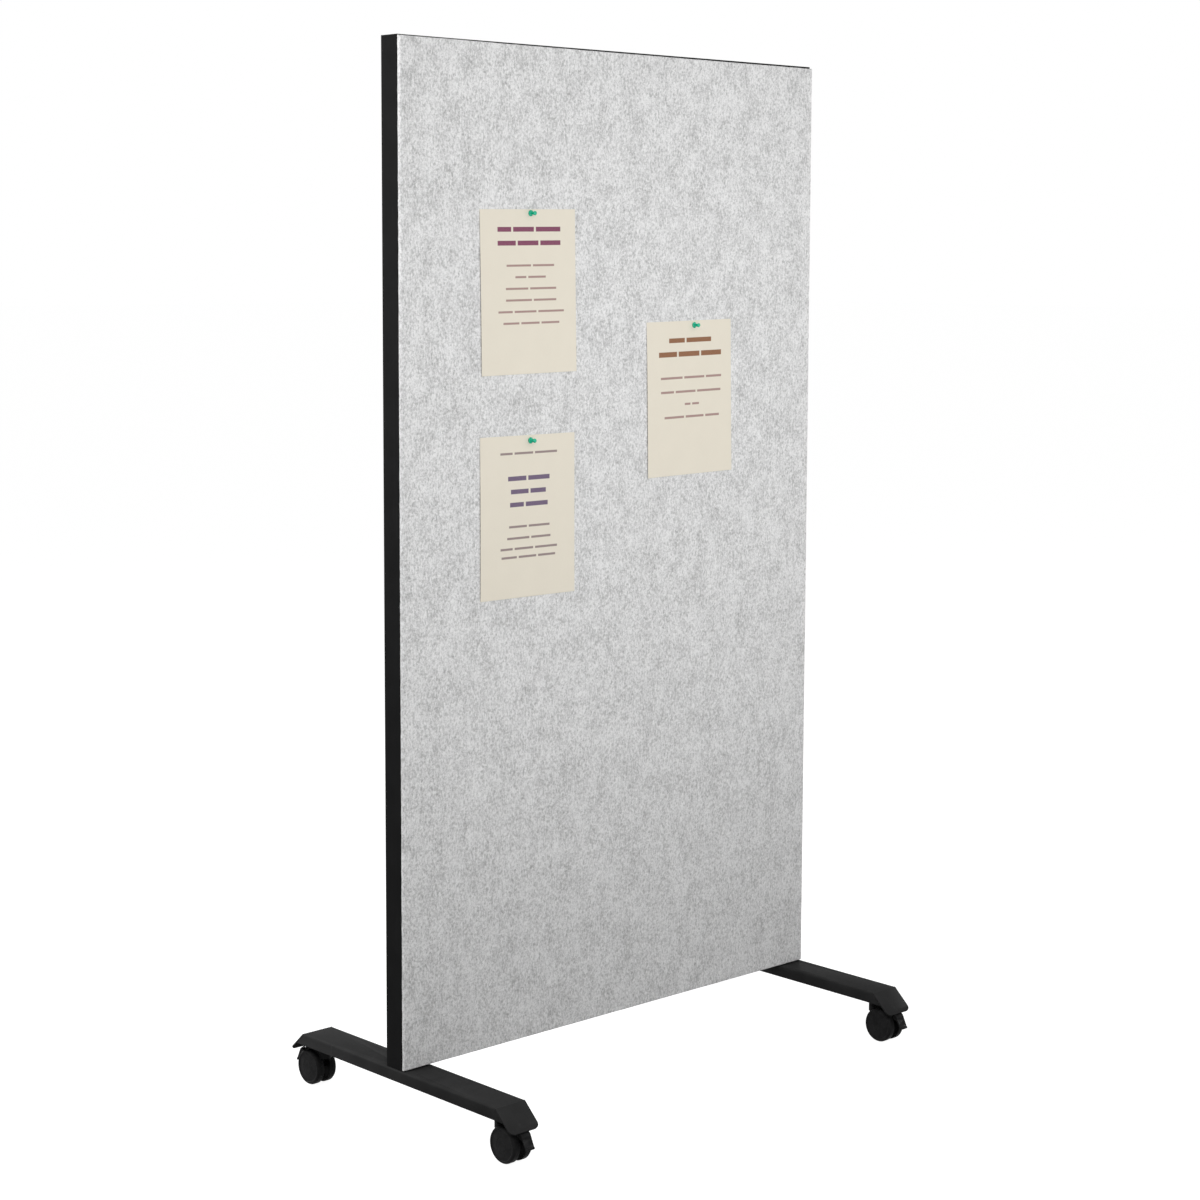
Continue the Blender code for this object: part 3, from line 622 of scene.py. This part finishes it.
def paperMesh(name):
    # Flat coordinates: X across, Z up from the top left corner, +Y into the felt
    columns, rows, held = paper["columns"], paper["rows"], paper["middleLift"]
    acrossScale, downScale = paper["rippleShape"]
    mesh = bmesh.new()
    grid = []
    for r in range(rows + 1):
        down = r / rows
        line = []
        for c in range(columns + 1):
            side = 2 * c / columns - 1
            lift = paper["lift"] * down ** 2 * (held + (1 - held) * side ** 2)
            spot = Vector((side * acrossScale, down * downScale, len(name) * paper["rippleStep"]))
            wave = noise.noise(spot) * paper["ripple"] * down
            wave += paper["leftLift"] * max(0, -side) ** 6 * sin(pi * down) ** 0.7
            x, z = paper["width"] * c / columns, -paper["height"] * down
            line.append(mesh.verts.new((x, -max(0, lift + wave), z)))
        grid.append(line)
    for upper, lower in zip(grid, grid[1:]):
        for c in range(columns):
            mesh.faces.new((upper[c], lower[c], lower[c + 1], upper[c + 1]))
    return carved("paper_" + name, mesh, sheet=-paper["thickness"])


pin = {
    "length": 0.0125,
    "headRadius": 0.0038,
    "flangeRadius": 0.0053,
    "waistRadius": 0.0021,
    "seatGap": 0.0007,           # off the felt, with the sheet between
    "needleRadius": 0.00055,
    "needleShank": 0.0062,
    "needleTip": 0.0072,
    # of the profile's corners, from the flange's middle out and up to the head's
    "rounding": (0, 0.0003, 0.0004, 0.0008, 0.002, 0.001, 0.0004, 0.0005, 0.0006, 0),
}
pinTone = {
    "deep": (0.0, 0.37, 0.215),
    "pale": (0.002, 0.46, 0.275),
    "scuffed": (0.06, 0.52, 0.36),
    "swirlDepth": 0.00001,
}


def pinMaterial():
    # Green polystyrene that lets some light through, with faint swirls and fine scuffs
    material, here = startMaterial("pin_green")
    swirl = here.noise(500, 2, 0.6, 1.5)
    scuffs = here.noise(1800, 3, 0.6, shift=3).over(0.58, 0.7)
    base = swirl.tint(pinTone["deep"], pinTone["pale"])
    base = (scuffs * 0.12).tint(base, pinTone["scuffed"])
    gloss = 0.26 + scuffs * 0.2
    return finishMaterial(
        material,
        {
            "Base Color": base, "Roughness": gloss, "Specular IOR Level": 0.25, "Coat Weight": 0.08,
            "Subsurface Weight": 0.5, "Subsurface Scale": 0.003, "Subsurface Radius": (0.2, 1.0, 0.7),
        },
        [(swirl, pinTone["swirlDepth"])],
    )


def pinMesh():
    long, head, flange, waist = pin["length"], pin["headRadius"], pin["flangeRadius"], pin["waistRadius"]
    profile = [
        (0, 0.0), (flange, 0.0), (flange, long * 0.09), (waist * 1.35, long * 0.17), (waist, long * 0.40),
        (waist * 1.3, long * 0.60), (head * 0.9, long * 0.78), (head, long * 0.88), (head * 0.86, long),
        (0, long),
    ]
    shape = turned(fillet(profile, pin["rounding"], 4, closed=False), 40)
    bmesh.ops.rotate(shape, verts=shape.verts, matrix=Matrix.Rotation(pi / 2, 3, "X"))
    return toMesh("tack_pin", shape)


pinShape = pinMesh()
pinFinish = pinMaterial()
zincFinish = brightMetal("zinc")
for name in pinned:
    low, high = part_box("push_pin_" + name)
    across, up = (low.x + high.x) / 2, (low.z + high.z) / 2
    aside, drop, tilt = hangs[name]
    corner = Matrix.Translation((-paper["width"] * (0.5 + aside), 0, paper["height"] * drop))
    behind = Matrix.Translation((across, feltFront - paper["seatGap"], up))
    hang = behind @ Matrix.Rotation(radians(-tilt), 4, "Y") @ corner
    addPiece(
        "paper_" + name, paperMesh(name), paperMaterial(name, printedBars[name]), "board",
        "sheet_" + name, hang,
    )
    stand = Matrix.Translation((across, feltFront - pin["seatGap"], up))
    addPiece("tack_pin_" + name, pinShape, pinFinish, "board", "push_pin_" + name, stand)
    thin = pin["needleRadius"]
    point = turned([(0, 0.0), (thin, 0.0), (thin, pin["needleShank"]), (0, pin["needleTip"])], 12, "Y")
    addPiece("tack_needle_" + name, toMesh("tack_needle", point), zincFinish, "board", None, stand)
print("sheets and pins made")


# Legs and their bolts

leg = {
    "sheet": 0.0025,
    "flange": 0.020,
    "innerBend": 0.0005,
    "tabBend": 0.001,
    "lapGap": 0.0003,            # between a flange's slanted end and the tab above it
    "tabAngle": radians(42.5),
    "tabCorner": 0.011,
    "tabInset": 0.0008,
    "edgeEase": 0.00055,
    "holeRadius": 0.0033,
    "holeOverrun": 0.002,
    "bendSteps": 10,
}
legPaint = {
    "colour": (0.0270, 0.0270, 0.0272),
    "roughness": 0.45,
    "specular": 0.004,
    "grain": 1900,
    "grainDepth": 0.00002,
}
bolt = {
    "headRadius": 0.00525,
    "headHeight": 0.0033,
    "shankRadius": 0.003,
    "endChamfer": 0.0006,
    "socketRadius": 0.002,
    "socketDepth": 0.002,
    "socketOverrun": 0.001,
    "rounding": (0, 0.0012, 0.002, 0.0002, 0, 0, 0, 0),
}


def legRun(tipOut, angle, tabBend):
    # The flat's half length and the tab's slope length, from how far out and down the tab reaches
    low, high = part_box("leg_left")
    down = high.z - low.z
    undercut = leg["sheet"] * cos(angle)     # the sheet's lower skin is what reaches lowest
    slope = (down - undercut - tabBend * (1 - cos(angle))) / sin(angle)
    flatEnd = tipOut - slope * cos(angle) - tabBend * sin(angle)
    return flatEnd, slope


def legMesh(side):
    low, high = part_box("leg_" + side)
    half = (high.x - low.x) / 2
    middle = Vector(((low.x + high.x) / 2, (low.y + high.y) / 2, high.z))
    angle = leg["tabAngle"]
    bend = leg["sheet"] + leg["innerBend"]
    tabBend = leg["sheet"] + leg["tabBend"]
    # the tab's tip is the leg's end: reach and drop follow from the box
    flatEnd, slope = legRun((high.y - low.y) / 2, angle, tabBend)
    section = (
        [(-half, -leg["flange"])]
        + arc((-half + bend, -bend), bend, pi, pi / 2, 8)
        + arc((half - bend, -bend), bend, pi / 2, 0, 8)
        + [(half, -leg["flange"])]
    )
    # the flanges run on past the bend until they meet the underside of the tab
    under = leg["sheet"] + leg["lapGap"]
    along = (leg["flange"] - tabBend * (1 - cos(angle)) - under * cos(angle)) / sin(angle)
    flangeEnd = flatEnd + tabBend * sin(angle) + along * cos(angle) - under * sin(angle)
    mesh = bmesh.new()
    ends = [flangeEnd, *[flatEnd] * (len(section) - 2), flangeEnd]
    rows = [[mesh.verts.new((x, way * end, z)) for (x, z), end in zip(section, ends)] for way in (-1, 1)]
    for i in range(len(section) - 1):
        mesh.faces.new((rows[0][i], rows[0][i + 1], rows[1][i + 1], rows[1][i]))
    crown = len(section) // 2 - 1
    tabHalf = half - leg["tabInset"]
    for row, way in ((rows[0], -1), (rows[1], 1)):
        edge = [row[crown], row[crown + 1]]
        for k in range(1, leg["bendSteps"] + 1):
            turn = angle * k / leg["bendSteps"]
            wide = edge[1].co.x if k == 1 else tabHalf
            y, z = way * (flatEnd + tabBend * sin(turn)), -tabBend * (1 - cos(turn))
            fresh = [mesh.verts.new((-wide, y, z)), mesh.verts.new((wide, y, z))]
            mesh.faces.new((edge[0], edge[1], fresh[1], fresh[0]))
            edge = fresh
        outline = [(-tabHalf, 0), (-tabHalf, slope), (tabHalf, slope), (tabHalf, 0)]
        rounded = fillet(outline, leg["tabCorner"], 12, (1, 2))
        points = [
            mesh.verts.new((x, y + way * t * cos(angle), z - t * sin(angle))) for x, t in rounded[1:-1]
        ]
        mesh.faces.new([edge[0], *points, edge[1]])
    bmesh.ops.recalc_face_normals(mesh, faces=mesh.faces)
    top = max(mesh.faces, key=lambda face: face.normal.z ** 2 * face.calc_area())
    if top.normal.z < 0:
        bmesh.ops.reverse_faces(mesh, faces=mesh.faces)
    holes = []
    for rank in ("inner", "outer"):
        boltLow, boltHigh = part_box(f"leg_bolt_{side}_{rank}")
        spot = (boltLow + boltHigh) / 2 - middle
        over = leg["holeOverrun"]
        holes.append(rod(leg["holeRadius"], -leg["sheet"] - over, over, "Z", (spot.x, spot.y, 0), 24))
    shape = carved(
        "leg_sheet_" + side, mesh, cuts=holes, ease=leg["edgeEase"], sheet=leg["sheet"], easeAngle=50
    )
    return shape, middle


legFinish = paintedMetal("leg_black", legPaint)
for side in ("left", "right"):
    mesh, spot = legMesh(side)
    stand = Matrix.Translation(spot)
    addPiece("leg_sheet_" + side, mesh, legFinish, "board", "leg_" + side, stand)


def boltMesh():
    low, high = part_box("leg_bolt_left_inner")
    tall = high.z - low.z
    head, under = bolt["headRadius"], bolt["headHeight"]
    shank, chamfer = bolt["shankRadius"], bolt["endChamfer"]
    profile = [
        (0, 0.0), (head * 0.62, 0.0), (head, under * 0.75), (head, under), (shank, under),
        (shank, tall - chamfer), (shank - chamfer, tall), (0, tall),
    ]
    body = turned(fillet(profile, bolt["rounding"], 5, closed=False), 36)
    socket = rod(bolt["socketRadius"], -bolt["socketOverrun"], bolt["socketDepth"], steps=6)
    return carved("leg_bolt", body, cuts=[socket])


boltShape = boltMesh()
for side in ("left", "right"):
    for rank in ("inner", "outer"):
        node = f"leg_bolt_{side}_{rank}"
        low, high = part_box(node)
        spot = Matrix.Translation(((low.x + high.x) / 2, (low.y + high.y) / 2, low.z))
        addPiece("button_bolt_" + side + "_" + rank, boltShape, zincFinish, "board", node, spot)
print("legs and bolts made")


# Casters

caster = {
    "wheelRadius": 0.0308,
    "treadRadius": 0.03095,
    "trail": 0.0237,
    "wheelWidth": 0.0138,
    "wheelGap": 0.0138,
    "wheelEdge": 0.0035,
    "axleRadius": 0.003,
    "axleCover": 0.0055,
    "hoodInner": 0.032395,       # the hood's inner arc about the axle
    "hoodThickness": 0.0036,
    "hoodWidth": 0.024,
    "hoodBack": radians(128),
    "hoodFront": radians(72),
    "webGap": 0.0005,
    "axleBoss": 0.009,
    "bossRadius": 0.0115,
    "lugRadius": 0.0034,
    "lugWidth": 0.009,
    "pivotRise": 0.0043,
    "pivotAngle": radians(56.5),
    "pinRadius": 0.00125,
    "gap": 0.0003,
    "brakeTravel": radians(12),
    "bossEase": 0.0012,
    "bossFoot": 0.0083,          # from the stem's foot down to the boss's
    "boreFloor": 0.008,          # from the boss's foot up to the stem's bore
    "webOverlap": radians(8),    # of the web past the hood's front end
    "webSides": (radians(185), radians(350)),
    "coverOverlap": 0.002,       # of the cover past its inner arc, cut away over the wheels
    "lugRoot": (radians(4), radians(-14)),   # where the lug meets the hood, from the hood's front end
    "overrun": 0.002,
    "edgeEase": 0.0005,
}
pedal = {
    "width": 0.021,
    "endWidth": 0.0175,
    "thickness": 0.0026,
    "arcAside": 0.0076,
    "arcBelow": 0.0095,
    "rise": 0.0018,
    "kneeAngle": radians(48),    # where its arc ends and its flat lower part starts
    "flatFacing": radians(27.6),
    "endAngle": radians(16),
    "bead": 0.0023,
    "knuckle": 0.0032,
    "shoeAngle": radians(35),
    "shoeSpan": radians(8),
    "shoeWidth": 0.0185,
    "shoeClearance": 0.0005,
    "beadEase": 0.0012,
    "edgeEase": 0.0004,
    "lowerShares": (0.8, 0.6, 0.4, 0.2, 0.0),
    "clearReach": 0.035,         # of the cut that frees the lug behind the pin
}
stem = {
    "radius": 0.0055,
    "collarRadius": 0.0095,
    "collarHeight": 0.003,
    "threadRadius": 0.005,
    "threadLength": 0.0088,
    "rounding": (0, 0.001, 0, 0.0005, 0.0005, 0, 0.0008, 0),
}
wheel = {
    "wall": 0.0026,
    "hubRadius": 0.0065,
    "hubRecess": 0.0010,         # the hub's and the dish's levels below the face
    "dishRecess": 0.0012,
    "lipWidth": 0.0004,          # of the tread's edge beside the web
    "lipHeight": 0.0006,
    "lipRecess": 0.0003,
    "seamShares": (0.30, 0.315, 0.33),   # of the width, where the tread's seam starts, is deepest and ends
    "seamDepth": 0.00025,
    "shoulderFall": 0.0003,
    # how far in from the rim and how far below the face: the bead round the dish
    "bead": ((0.0014, 0.0001), (0.0022, 0.0011), (0.0034, 0.0012)),
    # radius and depth below the face: the raised ring round the middle
    "ring": ((0.0135, 0.0004), (0.0125, 0.0003), (0.0117, 0.0007), (0.0109, 0.0002)),
    "rounding": (
        0, 0, 0.0002, 0.0003, 0.001, 0.001, 0.0002, 0.0002, 0.0003, 0, 0, 0, 0.0022, 0.0012,
        0.0006, 0.0005, 0.0006, 0.002, 0.0002, 0.0002, 0.0002, 0,
    ),
}
pivotRadius = caster["hoodInner"] + caster["pivotRise"]
pivotAside = pivotRadius * cos(caster["pivotAngle"])
pivotAbove = pivotRadius * sin(caster["pivotAngle"])


casterTone = {
    "black": (0.0160, 0.0160, 0.0163),
    "dust": (0.07, 0.068, 0.064),
    "roughness": 0.42,
    "specular": 0.02,
    "grain": 1400,
    "grainDepth": 0.00001,
}


def casterMaterial():
    # Moulded nylon: spark-eroded grain, faint flow clouds, a little dust
    tone = casterTone
    material, here = startMaterial("caster_black")
    grain = here.noise(tone["grain"], 3, 0.6)
    flow = here.noise(70, 3, 0.6, 0.8, shift=6)
    dust = here.noise(260, 4, 0.7, shift=2).over(0.60, 0.75)
    base = flow.over(0.3, 0.7).tint(scaled(tone["black"], 0.8), scaled(tone["black"], 1.25))
    base = (dust * 0.22).tint(base, tone["dust"])
    gloss = tone["roughness"] + flow * 0.10 - 0.05 + dust * 0.10
    return finishMaterial(
        material,
        {"Base Color": base, "Roughness": gloss, "Specular IOR Level": tone["specular"]},
        [(grain, tone["grainDepth"])],
    )


def wheelMesh():
    # From the web's side out: hub, open rim, rounded tread, a raised ring and a slightly domed face
    face, edge, tread = caster["wheelWidth"], caster["wheelEdge"], caster["treadRadius"]
    rim = tread - edge
    wall, hub, gap = wheel["wall"], wheel["hubRadius"], caster["gap"]
    seamStart, seamMiddle, seamEnd = [face * share for share in wheel["seamShares"]]
    bore = caster["axleRadius"] + gap
    boreDepth = face - caster["axleCover"] + gap
    profile = [
        (0, boreDepth), (bore, boreDepth), (bore, gap), (hub, gap),
        (hub, face - wheel["hubRecess"] - wall), (rim - wall, face - wheel["dishRecess"] - wall),
        (tread - wall, wheel["lipRecess"]), (tread - wheel["lipWidth"], 0.0), (tread, wheel["lipHeight"]),
        (tread, seamStart), (tread - wheel["seamDepth"], seamMiddle), (tread, seamEnd),
        (tread, face - edge * 1.05), (rim + edge * 0.35, face - wheel["shoulderFall"]),
    ]
    profile += [(rim - inset, face - fall) for inset, fall in wheel["bead"]]
    profile += [(radius, face - fall) for radius, fall in wheel["ring"]]
    profile.append((0, face))
    outline = fillet(profile, wheel["rounding"], 4, closed=False)
    return toMesh("caster_wheel", turned(outline, 80, "X"))


def hoodMesh(top, bottom):
    # top and bottom are the round boss's ends
    axle = (caster["trail"], caster["wheelRadius"])
    inner, outer = caster["hoodInner"], caster["hoodInner"] + caster["hoodThickness"]
    pivot = (axle[0] + pivotAside, axle[1] + pivotAbove)
    bossProfile = [(0, bottom), (caster["bossRadius"], bottom), (caster["bossRadius"], top), (0, top)]
    boss = turned(fillet(bossProfile, caster["bossEase"], 4, closed=False), 48)
    back, front = caster["hoodBack"], caster["hoodFront"]
    webHalf = caster["wheelGap"] / 2 - caster["webGap"]
    web = prism(
        arc(axle, (inner + outer) / 2, front - caster["webOverlap"], back, 16)
        + arc(axle, caster["axleBoss"], *caster["webSides"], 16),
        "X", -webHalf, webHalf,
    )
    cover = prism(
        arc(axle, outer, front, back, 20) + arc(axle, inner - caster["coverOverlap"], back, front, 20),
        "X", -caster["hoodWidth"] / 2, caster["hoodWidth"] / 2,
    )
    lugTop = arc(pivot, caster["lugRadius"], caster["pivotAngle"] - pi / 2, caster["pivotAngle"] + pi / 2, 12)
    roots = [front + turn for turn in caster["lugRoot"]]
    lugFoot = [(axle[0] + inner * cos(root), axle[1] + inner * sin(root)) for root in roots]
    lug = prism(lugTop + lugFoot, "X", -caster["lugWidth"] / 2, caster["lugWidth"] / 2)
    wide = caster["hoodWidth"]
    cuts = [
        rod(inner, low, high, "X", (0, *axle), 64) for low, high in ((webHalf, wide), (-wide, -webHalf))
    ]
    cuts.append(rod(caster["axleRadius"] + caster["gap"], -wide, wide, "X", (0, *axle), 20))
    cuts.append(rod(caster["pinRadius"] + caster["gap"], -wide, wide, "X", (0, *pivot), 16))
    floor = bottom + caster["boreFloor"]
    cuts.append(rod(stem["radius"] + caster["gap"], floor, top + caster["overrun"], steps=32))
    return carved("caster_hood", boss, [web, cover, lug], cuts, ease=caster["edgeEase"])


def pedalMesh():
    # Two knuckles on the pin, a curved pad with a flat lower part, a beaded toe and the shoe under it
    axle = (-pivotAside, -pivotAbove)
    centre = (axle[0] + pedal["arcAside"], axle[1] - pedal["arcBelow"])
    radius = hypot(*centre) + pedal["rise"]
    thick = pedal["thickness"]
    start = atan2(-centre[1], -centre[0])
    end = pedal["endAngle"]
    knee, facing = pedal["kneeAngle"], pedal["flatFacing"]

    def padPoint(angle, depth):
        reach = radius if angle >= knee else radius * cos(knee - facing) / cos(facing - angle)
        return (centre[0] + (reach - depth) * cos(angle), centre[1] + (reach - depth) * sin(angle))

    lower = [end + (knee - end) * share for share in pedal["lowerShares"]]
    outer = arc(centre, radius, start, knee, 14) + [padPoint(angle, 0) for angle in lower]
    inner = [padPoint(angle, thick) for angle in reversed(lower)]
    inner += arc(centre, radius - thick, knee, start, 14)
    pad = prism(outer + inner, "X", -pedal["width"] / 2, pedal["width"] / 2)
    for vert in pad.verts:
        angle = atan2(vert.co.z - centre[1], vert.co.y - centre[0])
        along = (start - angle) / (start - end)
        vert.co.x *= 1 - along * (1 - pedal["endWidth"] / pedal["width"])
    beadSpot = padPoint(end, thick / 3)
    beadHalf = pedal["endWidth"] / 2 + caster["gap"]
    bead = [(0, -beadHalf), (pedal["bead"], -beadHalf), (pedal["bead"], beadHalf), (0, beadHalf)]
    joins = [turned(fillet(bead, pedal["beadEase"], 4, closed=False), 20, "X", (0, *beadSpot))]
    knuckleHalf = pedal["width"] / 2 + caster["gap"]
    joins.append(rod(pedal["knuckle"], -knuckleHalf, knuckleHalf, "X", steps=28))
    low, high = pedal["shoeAngle"] - pedal["shoeSpan"], pedal["shoeAngle"] + pedal["shoeSpan"]
    turn = caster["brakeTravel"]
    pressed = arc(axle, caster["treadRadius"] + pedal["shoeClearance"], low, high, 8)
    released = [(y * cos(turn) - z * sin(turn), y * sin(turn) + z * cos(turn)) for y, z in pressed]
    released += [padPoint(a, thick / 2) for a in (high + pedal["shoeSpan"], low + pedal["shoeSpan"])]
    joins.append(prism(released, "X", -pedal["shoeWidth"] / 2, pedal["shoeWidth"] / 2))
    notch = caster["lugWidth"] / 2 + caster["gap"]
    cuts = [rod(caster["lugRadius"] + 2 * caster["gap"], -notch, notch, "X", steps=32)]
    reach = pedal["clearReach"]
    cuts.append(prism([(-reach, -reach), (0, -reach), (0, reach), (-reach, reach)], "X", -notch, notch))
    cuts.append(rod(caster["pinRadius"] + caster["gap"], -pedal["width"], pedal["width"], "X", steps=16))
    return carved("brake_pedal", pad, joins, cuts, ease=pedal["edgeEase"])


def stemMesh(low, high):
    # The stem from its foot in the hood up to its thread's end, with the collar that bears on the hood
    collarTop = high - stem["threadLength"] - caster["gap"]
    collarLow = collarTop - stem["collarHeight"]
    body, collar, thread = stem["radius"], stem["collarRadius"], stem["threadRadius"]
    profile = [
        (0, low), (body, low), (body, collarLow), (collar, collarLow), (collar, collarTop),
        (thread, collarTop), (thread, high), (0, high),
    ]
    return toMesh("caster_stem", turned(fillet(profile, stem["rounding"], 4, closed=False), 40))


casterFinish = casterMaterial()
wheelShape = wheelMesh()
pedalShape = pedalMesh()
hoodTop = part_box("hood_rear_left")[1].z
stemLow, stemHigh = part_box("stem_rear_left")
hoodShape = hoodMesh(min(hoodTop, stemHigh.z), stemLow.z - caster["bossFoot"])
stemShape = stemMesh(stemLow.z, stemHigh.z)
for corner in corners:
    low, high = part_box("stem_" + corner)
    centre = (low + high) / 2
    turn = pi if corner.startswith("front") else 0
    swivel = Matrix.Translation((centre.x, centre.y, 0)) @ Matrix.Rotation(turn, 4, "Z")
    addPiece("swivel_stem_" + corner, stemShape, zincFinish, "board", "stem_" + corner, swivel)
    addPiece("caster_hood_" + corner, hoodShape, casterFinish, "caster_" + corner, "hood_" + corner,
             swivel)
    for hand in ("inner", "outer"):
        low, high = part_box(f"wheel_{corner}_{hand}")
        outward = 1 if (low.x + high.x) / 2 > centre.x else -1
        inside = centre.x + outward * caster["wheelGap"] / 2
        hub = Vector((inside, (low.y + high.y) / 2, (low.z + high.z) / 2))
        turnWheel = Matrix.Translation(hub) @ Matrix.Rotation(0 if outward > 0 else pi, 4, "Z")
        addPiece(f"caster_wheel_{corner}_{hand}", wheelShape, casterFinish, f"wheel_{corner}_{hand}",
                 f"wheel_{corner}_{hand}", turnWheel)
    hinge = (0, caster["trail"] + pivotAside, caster["wheelRadius"] + pivotAbove)
    addPiece("brake_pedal_" + corner, pedalShape, casterFinish, "brake_" + corner, "brake_lever_" + corner,
             swivel @ Matrix.Translation(hinge))
print("casters made")


# Finishes of the pieces that keep their CAD shape

def recoat(material, names):
    for name in names:
        data = nodes[name].data
        data.materials.clear()
        data.materials.append(material)


framePaint = {
    "colour": (0.0095, 0.0095, 0.0097),
    "roughness": 0.46,
    "specular": 0.008,
    "grain": 1600,
    "grainDepth": 0.000015,
}
frameFinish = paintedMetal("frame_black", framePaint)
recoat(frameFinish, ["frame_stile_left", "frame_stile_right", "frame_rail_top", "frame_rail_bottom"])
recoat(legFinish, ["weld_nut_" + corner for corner in corners])
recoat(zincFinish, [kind + corner for kind in ("axle_", "brake_pin_") for corner in corners])
recoat(brightMetal("key_alloy"), [name for name in nodes if name.startswith("corner_key_")])
recoat(brightMetal("backer_steel"), ["steel_backer"])
recoat(honeycombMaterial(), ["core_panel"])
recoat(glassMaterial(), ["glass_board"])
print("finishes set")


# Floor, light and camera

white = (1, 1, 1, 1)
studio = {
    "ambient": 0.19,
    "floorReach": 60,
    "floorDrop": 0.0002,
    "floorColour": 0.30,
    "floorGlow": 0.94,           # added where the floor is seen or mirrored, so that it reads white
}
lamps = {
    "frontLamp": {"place": (0.15, -1.15, 1.48), "aim": (0.15, 0.0, 1.48), "size": (3.0, 2.15), "watts": 29.2},
    "leftLamp": {"place": (-2.3, 0.15, 2.5), "aim": (-0.4, 0.0, 0.5), "size": (1.3, 1.3), "watts": 45},
    "rightLamp": {"place": (5.2, 0.3, 1.2), "aim": (0.0, 0.0, 0.9), "size": (1.5, 2.0), "watts": 70},
    "backLamp": {"place": (-1.2, 3.3, 1.7), "aim": (0.0, 0.0, 0.95), "size": (2.4, 2.2), "watts": 105},
}


def seen(tree):
    # 1 for camera, glossy and transmission rays
    rays = Wire(tree)
    kinds = [rays.node("ShaderNodeLightPath", output=name)
             for name in ("Is Camera Ray", "Is Glossy Ray", "Is Transmission Ray")]
    return kinds[0].most(kinds[1]).most(kinds[2])


def setWorld():
    world = bpy.data.worlds.new("studio")
    world.use_nodes = True
    scene.world = world
    tree = world.node_tree
    tree.nodes.clear()
    shown = seen(tree)
    plain = shown.node("ShaderNodeBackground", values={"Color": white, "Strength": studio["ambient"]})
    bright = shown.node("ShaderNodeBackground", values={"Color": white, "Strength": 1.0})
    both = shown.node("ShaderNodeMixShader", values={0: shown, 1: plain, 2: bright})
    both.node("ShaderNodeOutputWorld", values={"Surface": both})


def setFloor():
    mesh = bmesh.new()
    reach, level = studio["floorReach"], -studio["floorDrop"]
    ends = ((-reach, -reach), (reach, -reach), (reach, reach), (-reach, reach))
    mesh.faces.new([mesh.verts.new((x, y, level)) for x, y in ends])
    material = bpy.data.materials.new("studio_floor")
    material.use_nodes = True
    tree = material.node_tree
    tree.nodes.clear()
    shown = seen(tree)
    tone = studio["floorColour"]
    cloth = shown.node("ShaderNodeBsdfDiffuse", values={"Color": (tone, tone, tone, 1)})
    glow = shown.node("ShaderNodeEmission", values={"Strength": studio["floorGlow"]})
    lit = shown.node("ShaderNodeAddShader", values={0: cloth, 1: glow})
    both = shown.node("ShaderNodeMixShader", values={0: shown, 1: cloth, 2: lit})
    both.node("ShaderNodeOutputMaterial", values={"Surface": both})
    floor = bpy.data.objects.new("floor", toMesh("floor", mesh))
    floor.data.materials.append(material)
    scene.collection.objects.link(floor)


def addLamp(name, values):
    data = bpy.data.lights.new(name, "AREA")
    data.shape = "RECTANGLE"
    data.size, data.size_y = values["size"]
    data.energy = values["watts"]
    lamp = bpy.data.objects.new(name, data)
    lamp.location = values["place"]
    lamp.rotation_euler = (Vector(values["aim"]) - lamp.location).to_track_quat("-Z", "Y").to_euler()
    scene.collection.objects.link(lamp)


view = {
    "place": (-3.01176, -3.19226, 1.46374),
    "turn": 0.75196,             # from +Y towards +X
    "dip": 0.10621,
    "roll": 0.00360,
    "imageWidth": 1200,          # pixels
    "focal": 2465.92,            # in those pixels
    "centreRow": 519.38,         # where the lens points, from the image's top
    "sensor": 36,
    "clipEnd": 200,
}


def setCamera():
    data = bpy.data.cameras.new("camera")
    data.sensor_fit = "HORIZONTAL"
    wide, turn, dip, roll = view["imageWidth"], view["turn"], view["dip"], view["roll"]
    data.sensor_width = view["sensor"]
    data.lens = view["sensor"] * (view["focal"] / wide)
    data.shift_y = -(wide / 2 - view["centreRow"]) / wide
    data.clip_end = view["clipEnd"]
    ahead = Vector((sin(turn) * cos(dip), cos(turn) * cos(dip), -sin(dip)))
    side = Vector((cos(turn), -sin(turn), 0))
    up = side.cross(ahead)
    right = side * cos(roll) + up * sin(roll)
    top = up * cos(roll) - side * sin(roll)
    facing = Matrix((right, top, -ahead)).transposed().to_4x4()
    camera = bpy.data.objects.new("camera", data)
    camera.matrix_world = Matrix.Translation(view["place"]) @ facing
    scene.collection.objects.link(camera)
    scene.camera = camera


setWorld()
setFloor()
for name, values in lamps.items():
    addLamp(name, values)
setCamera()
print("studio set")
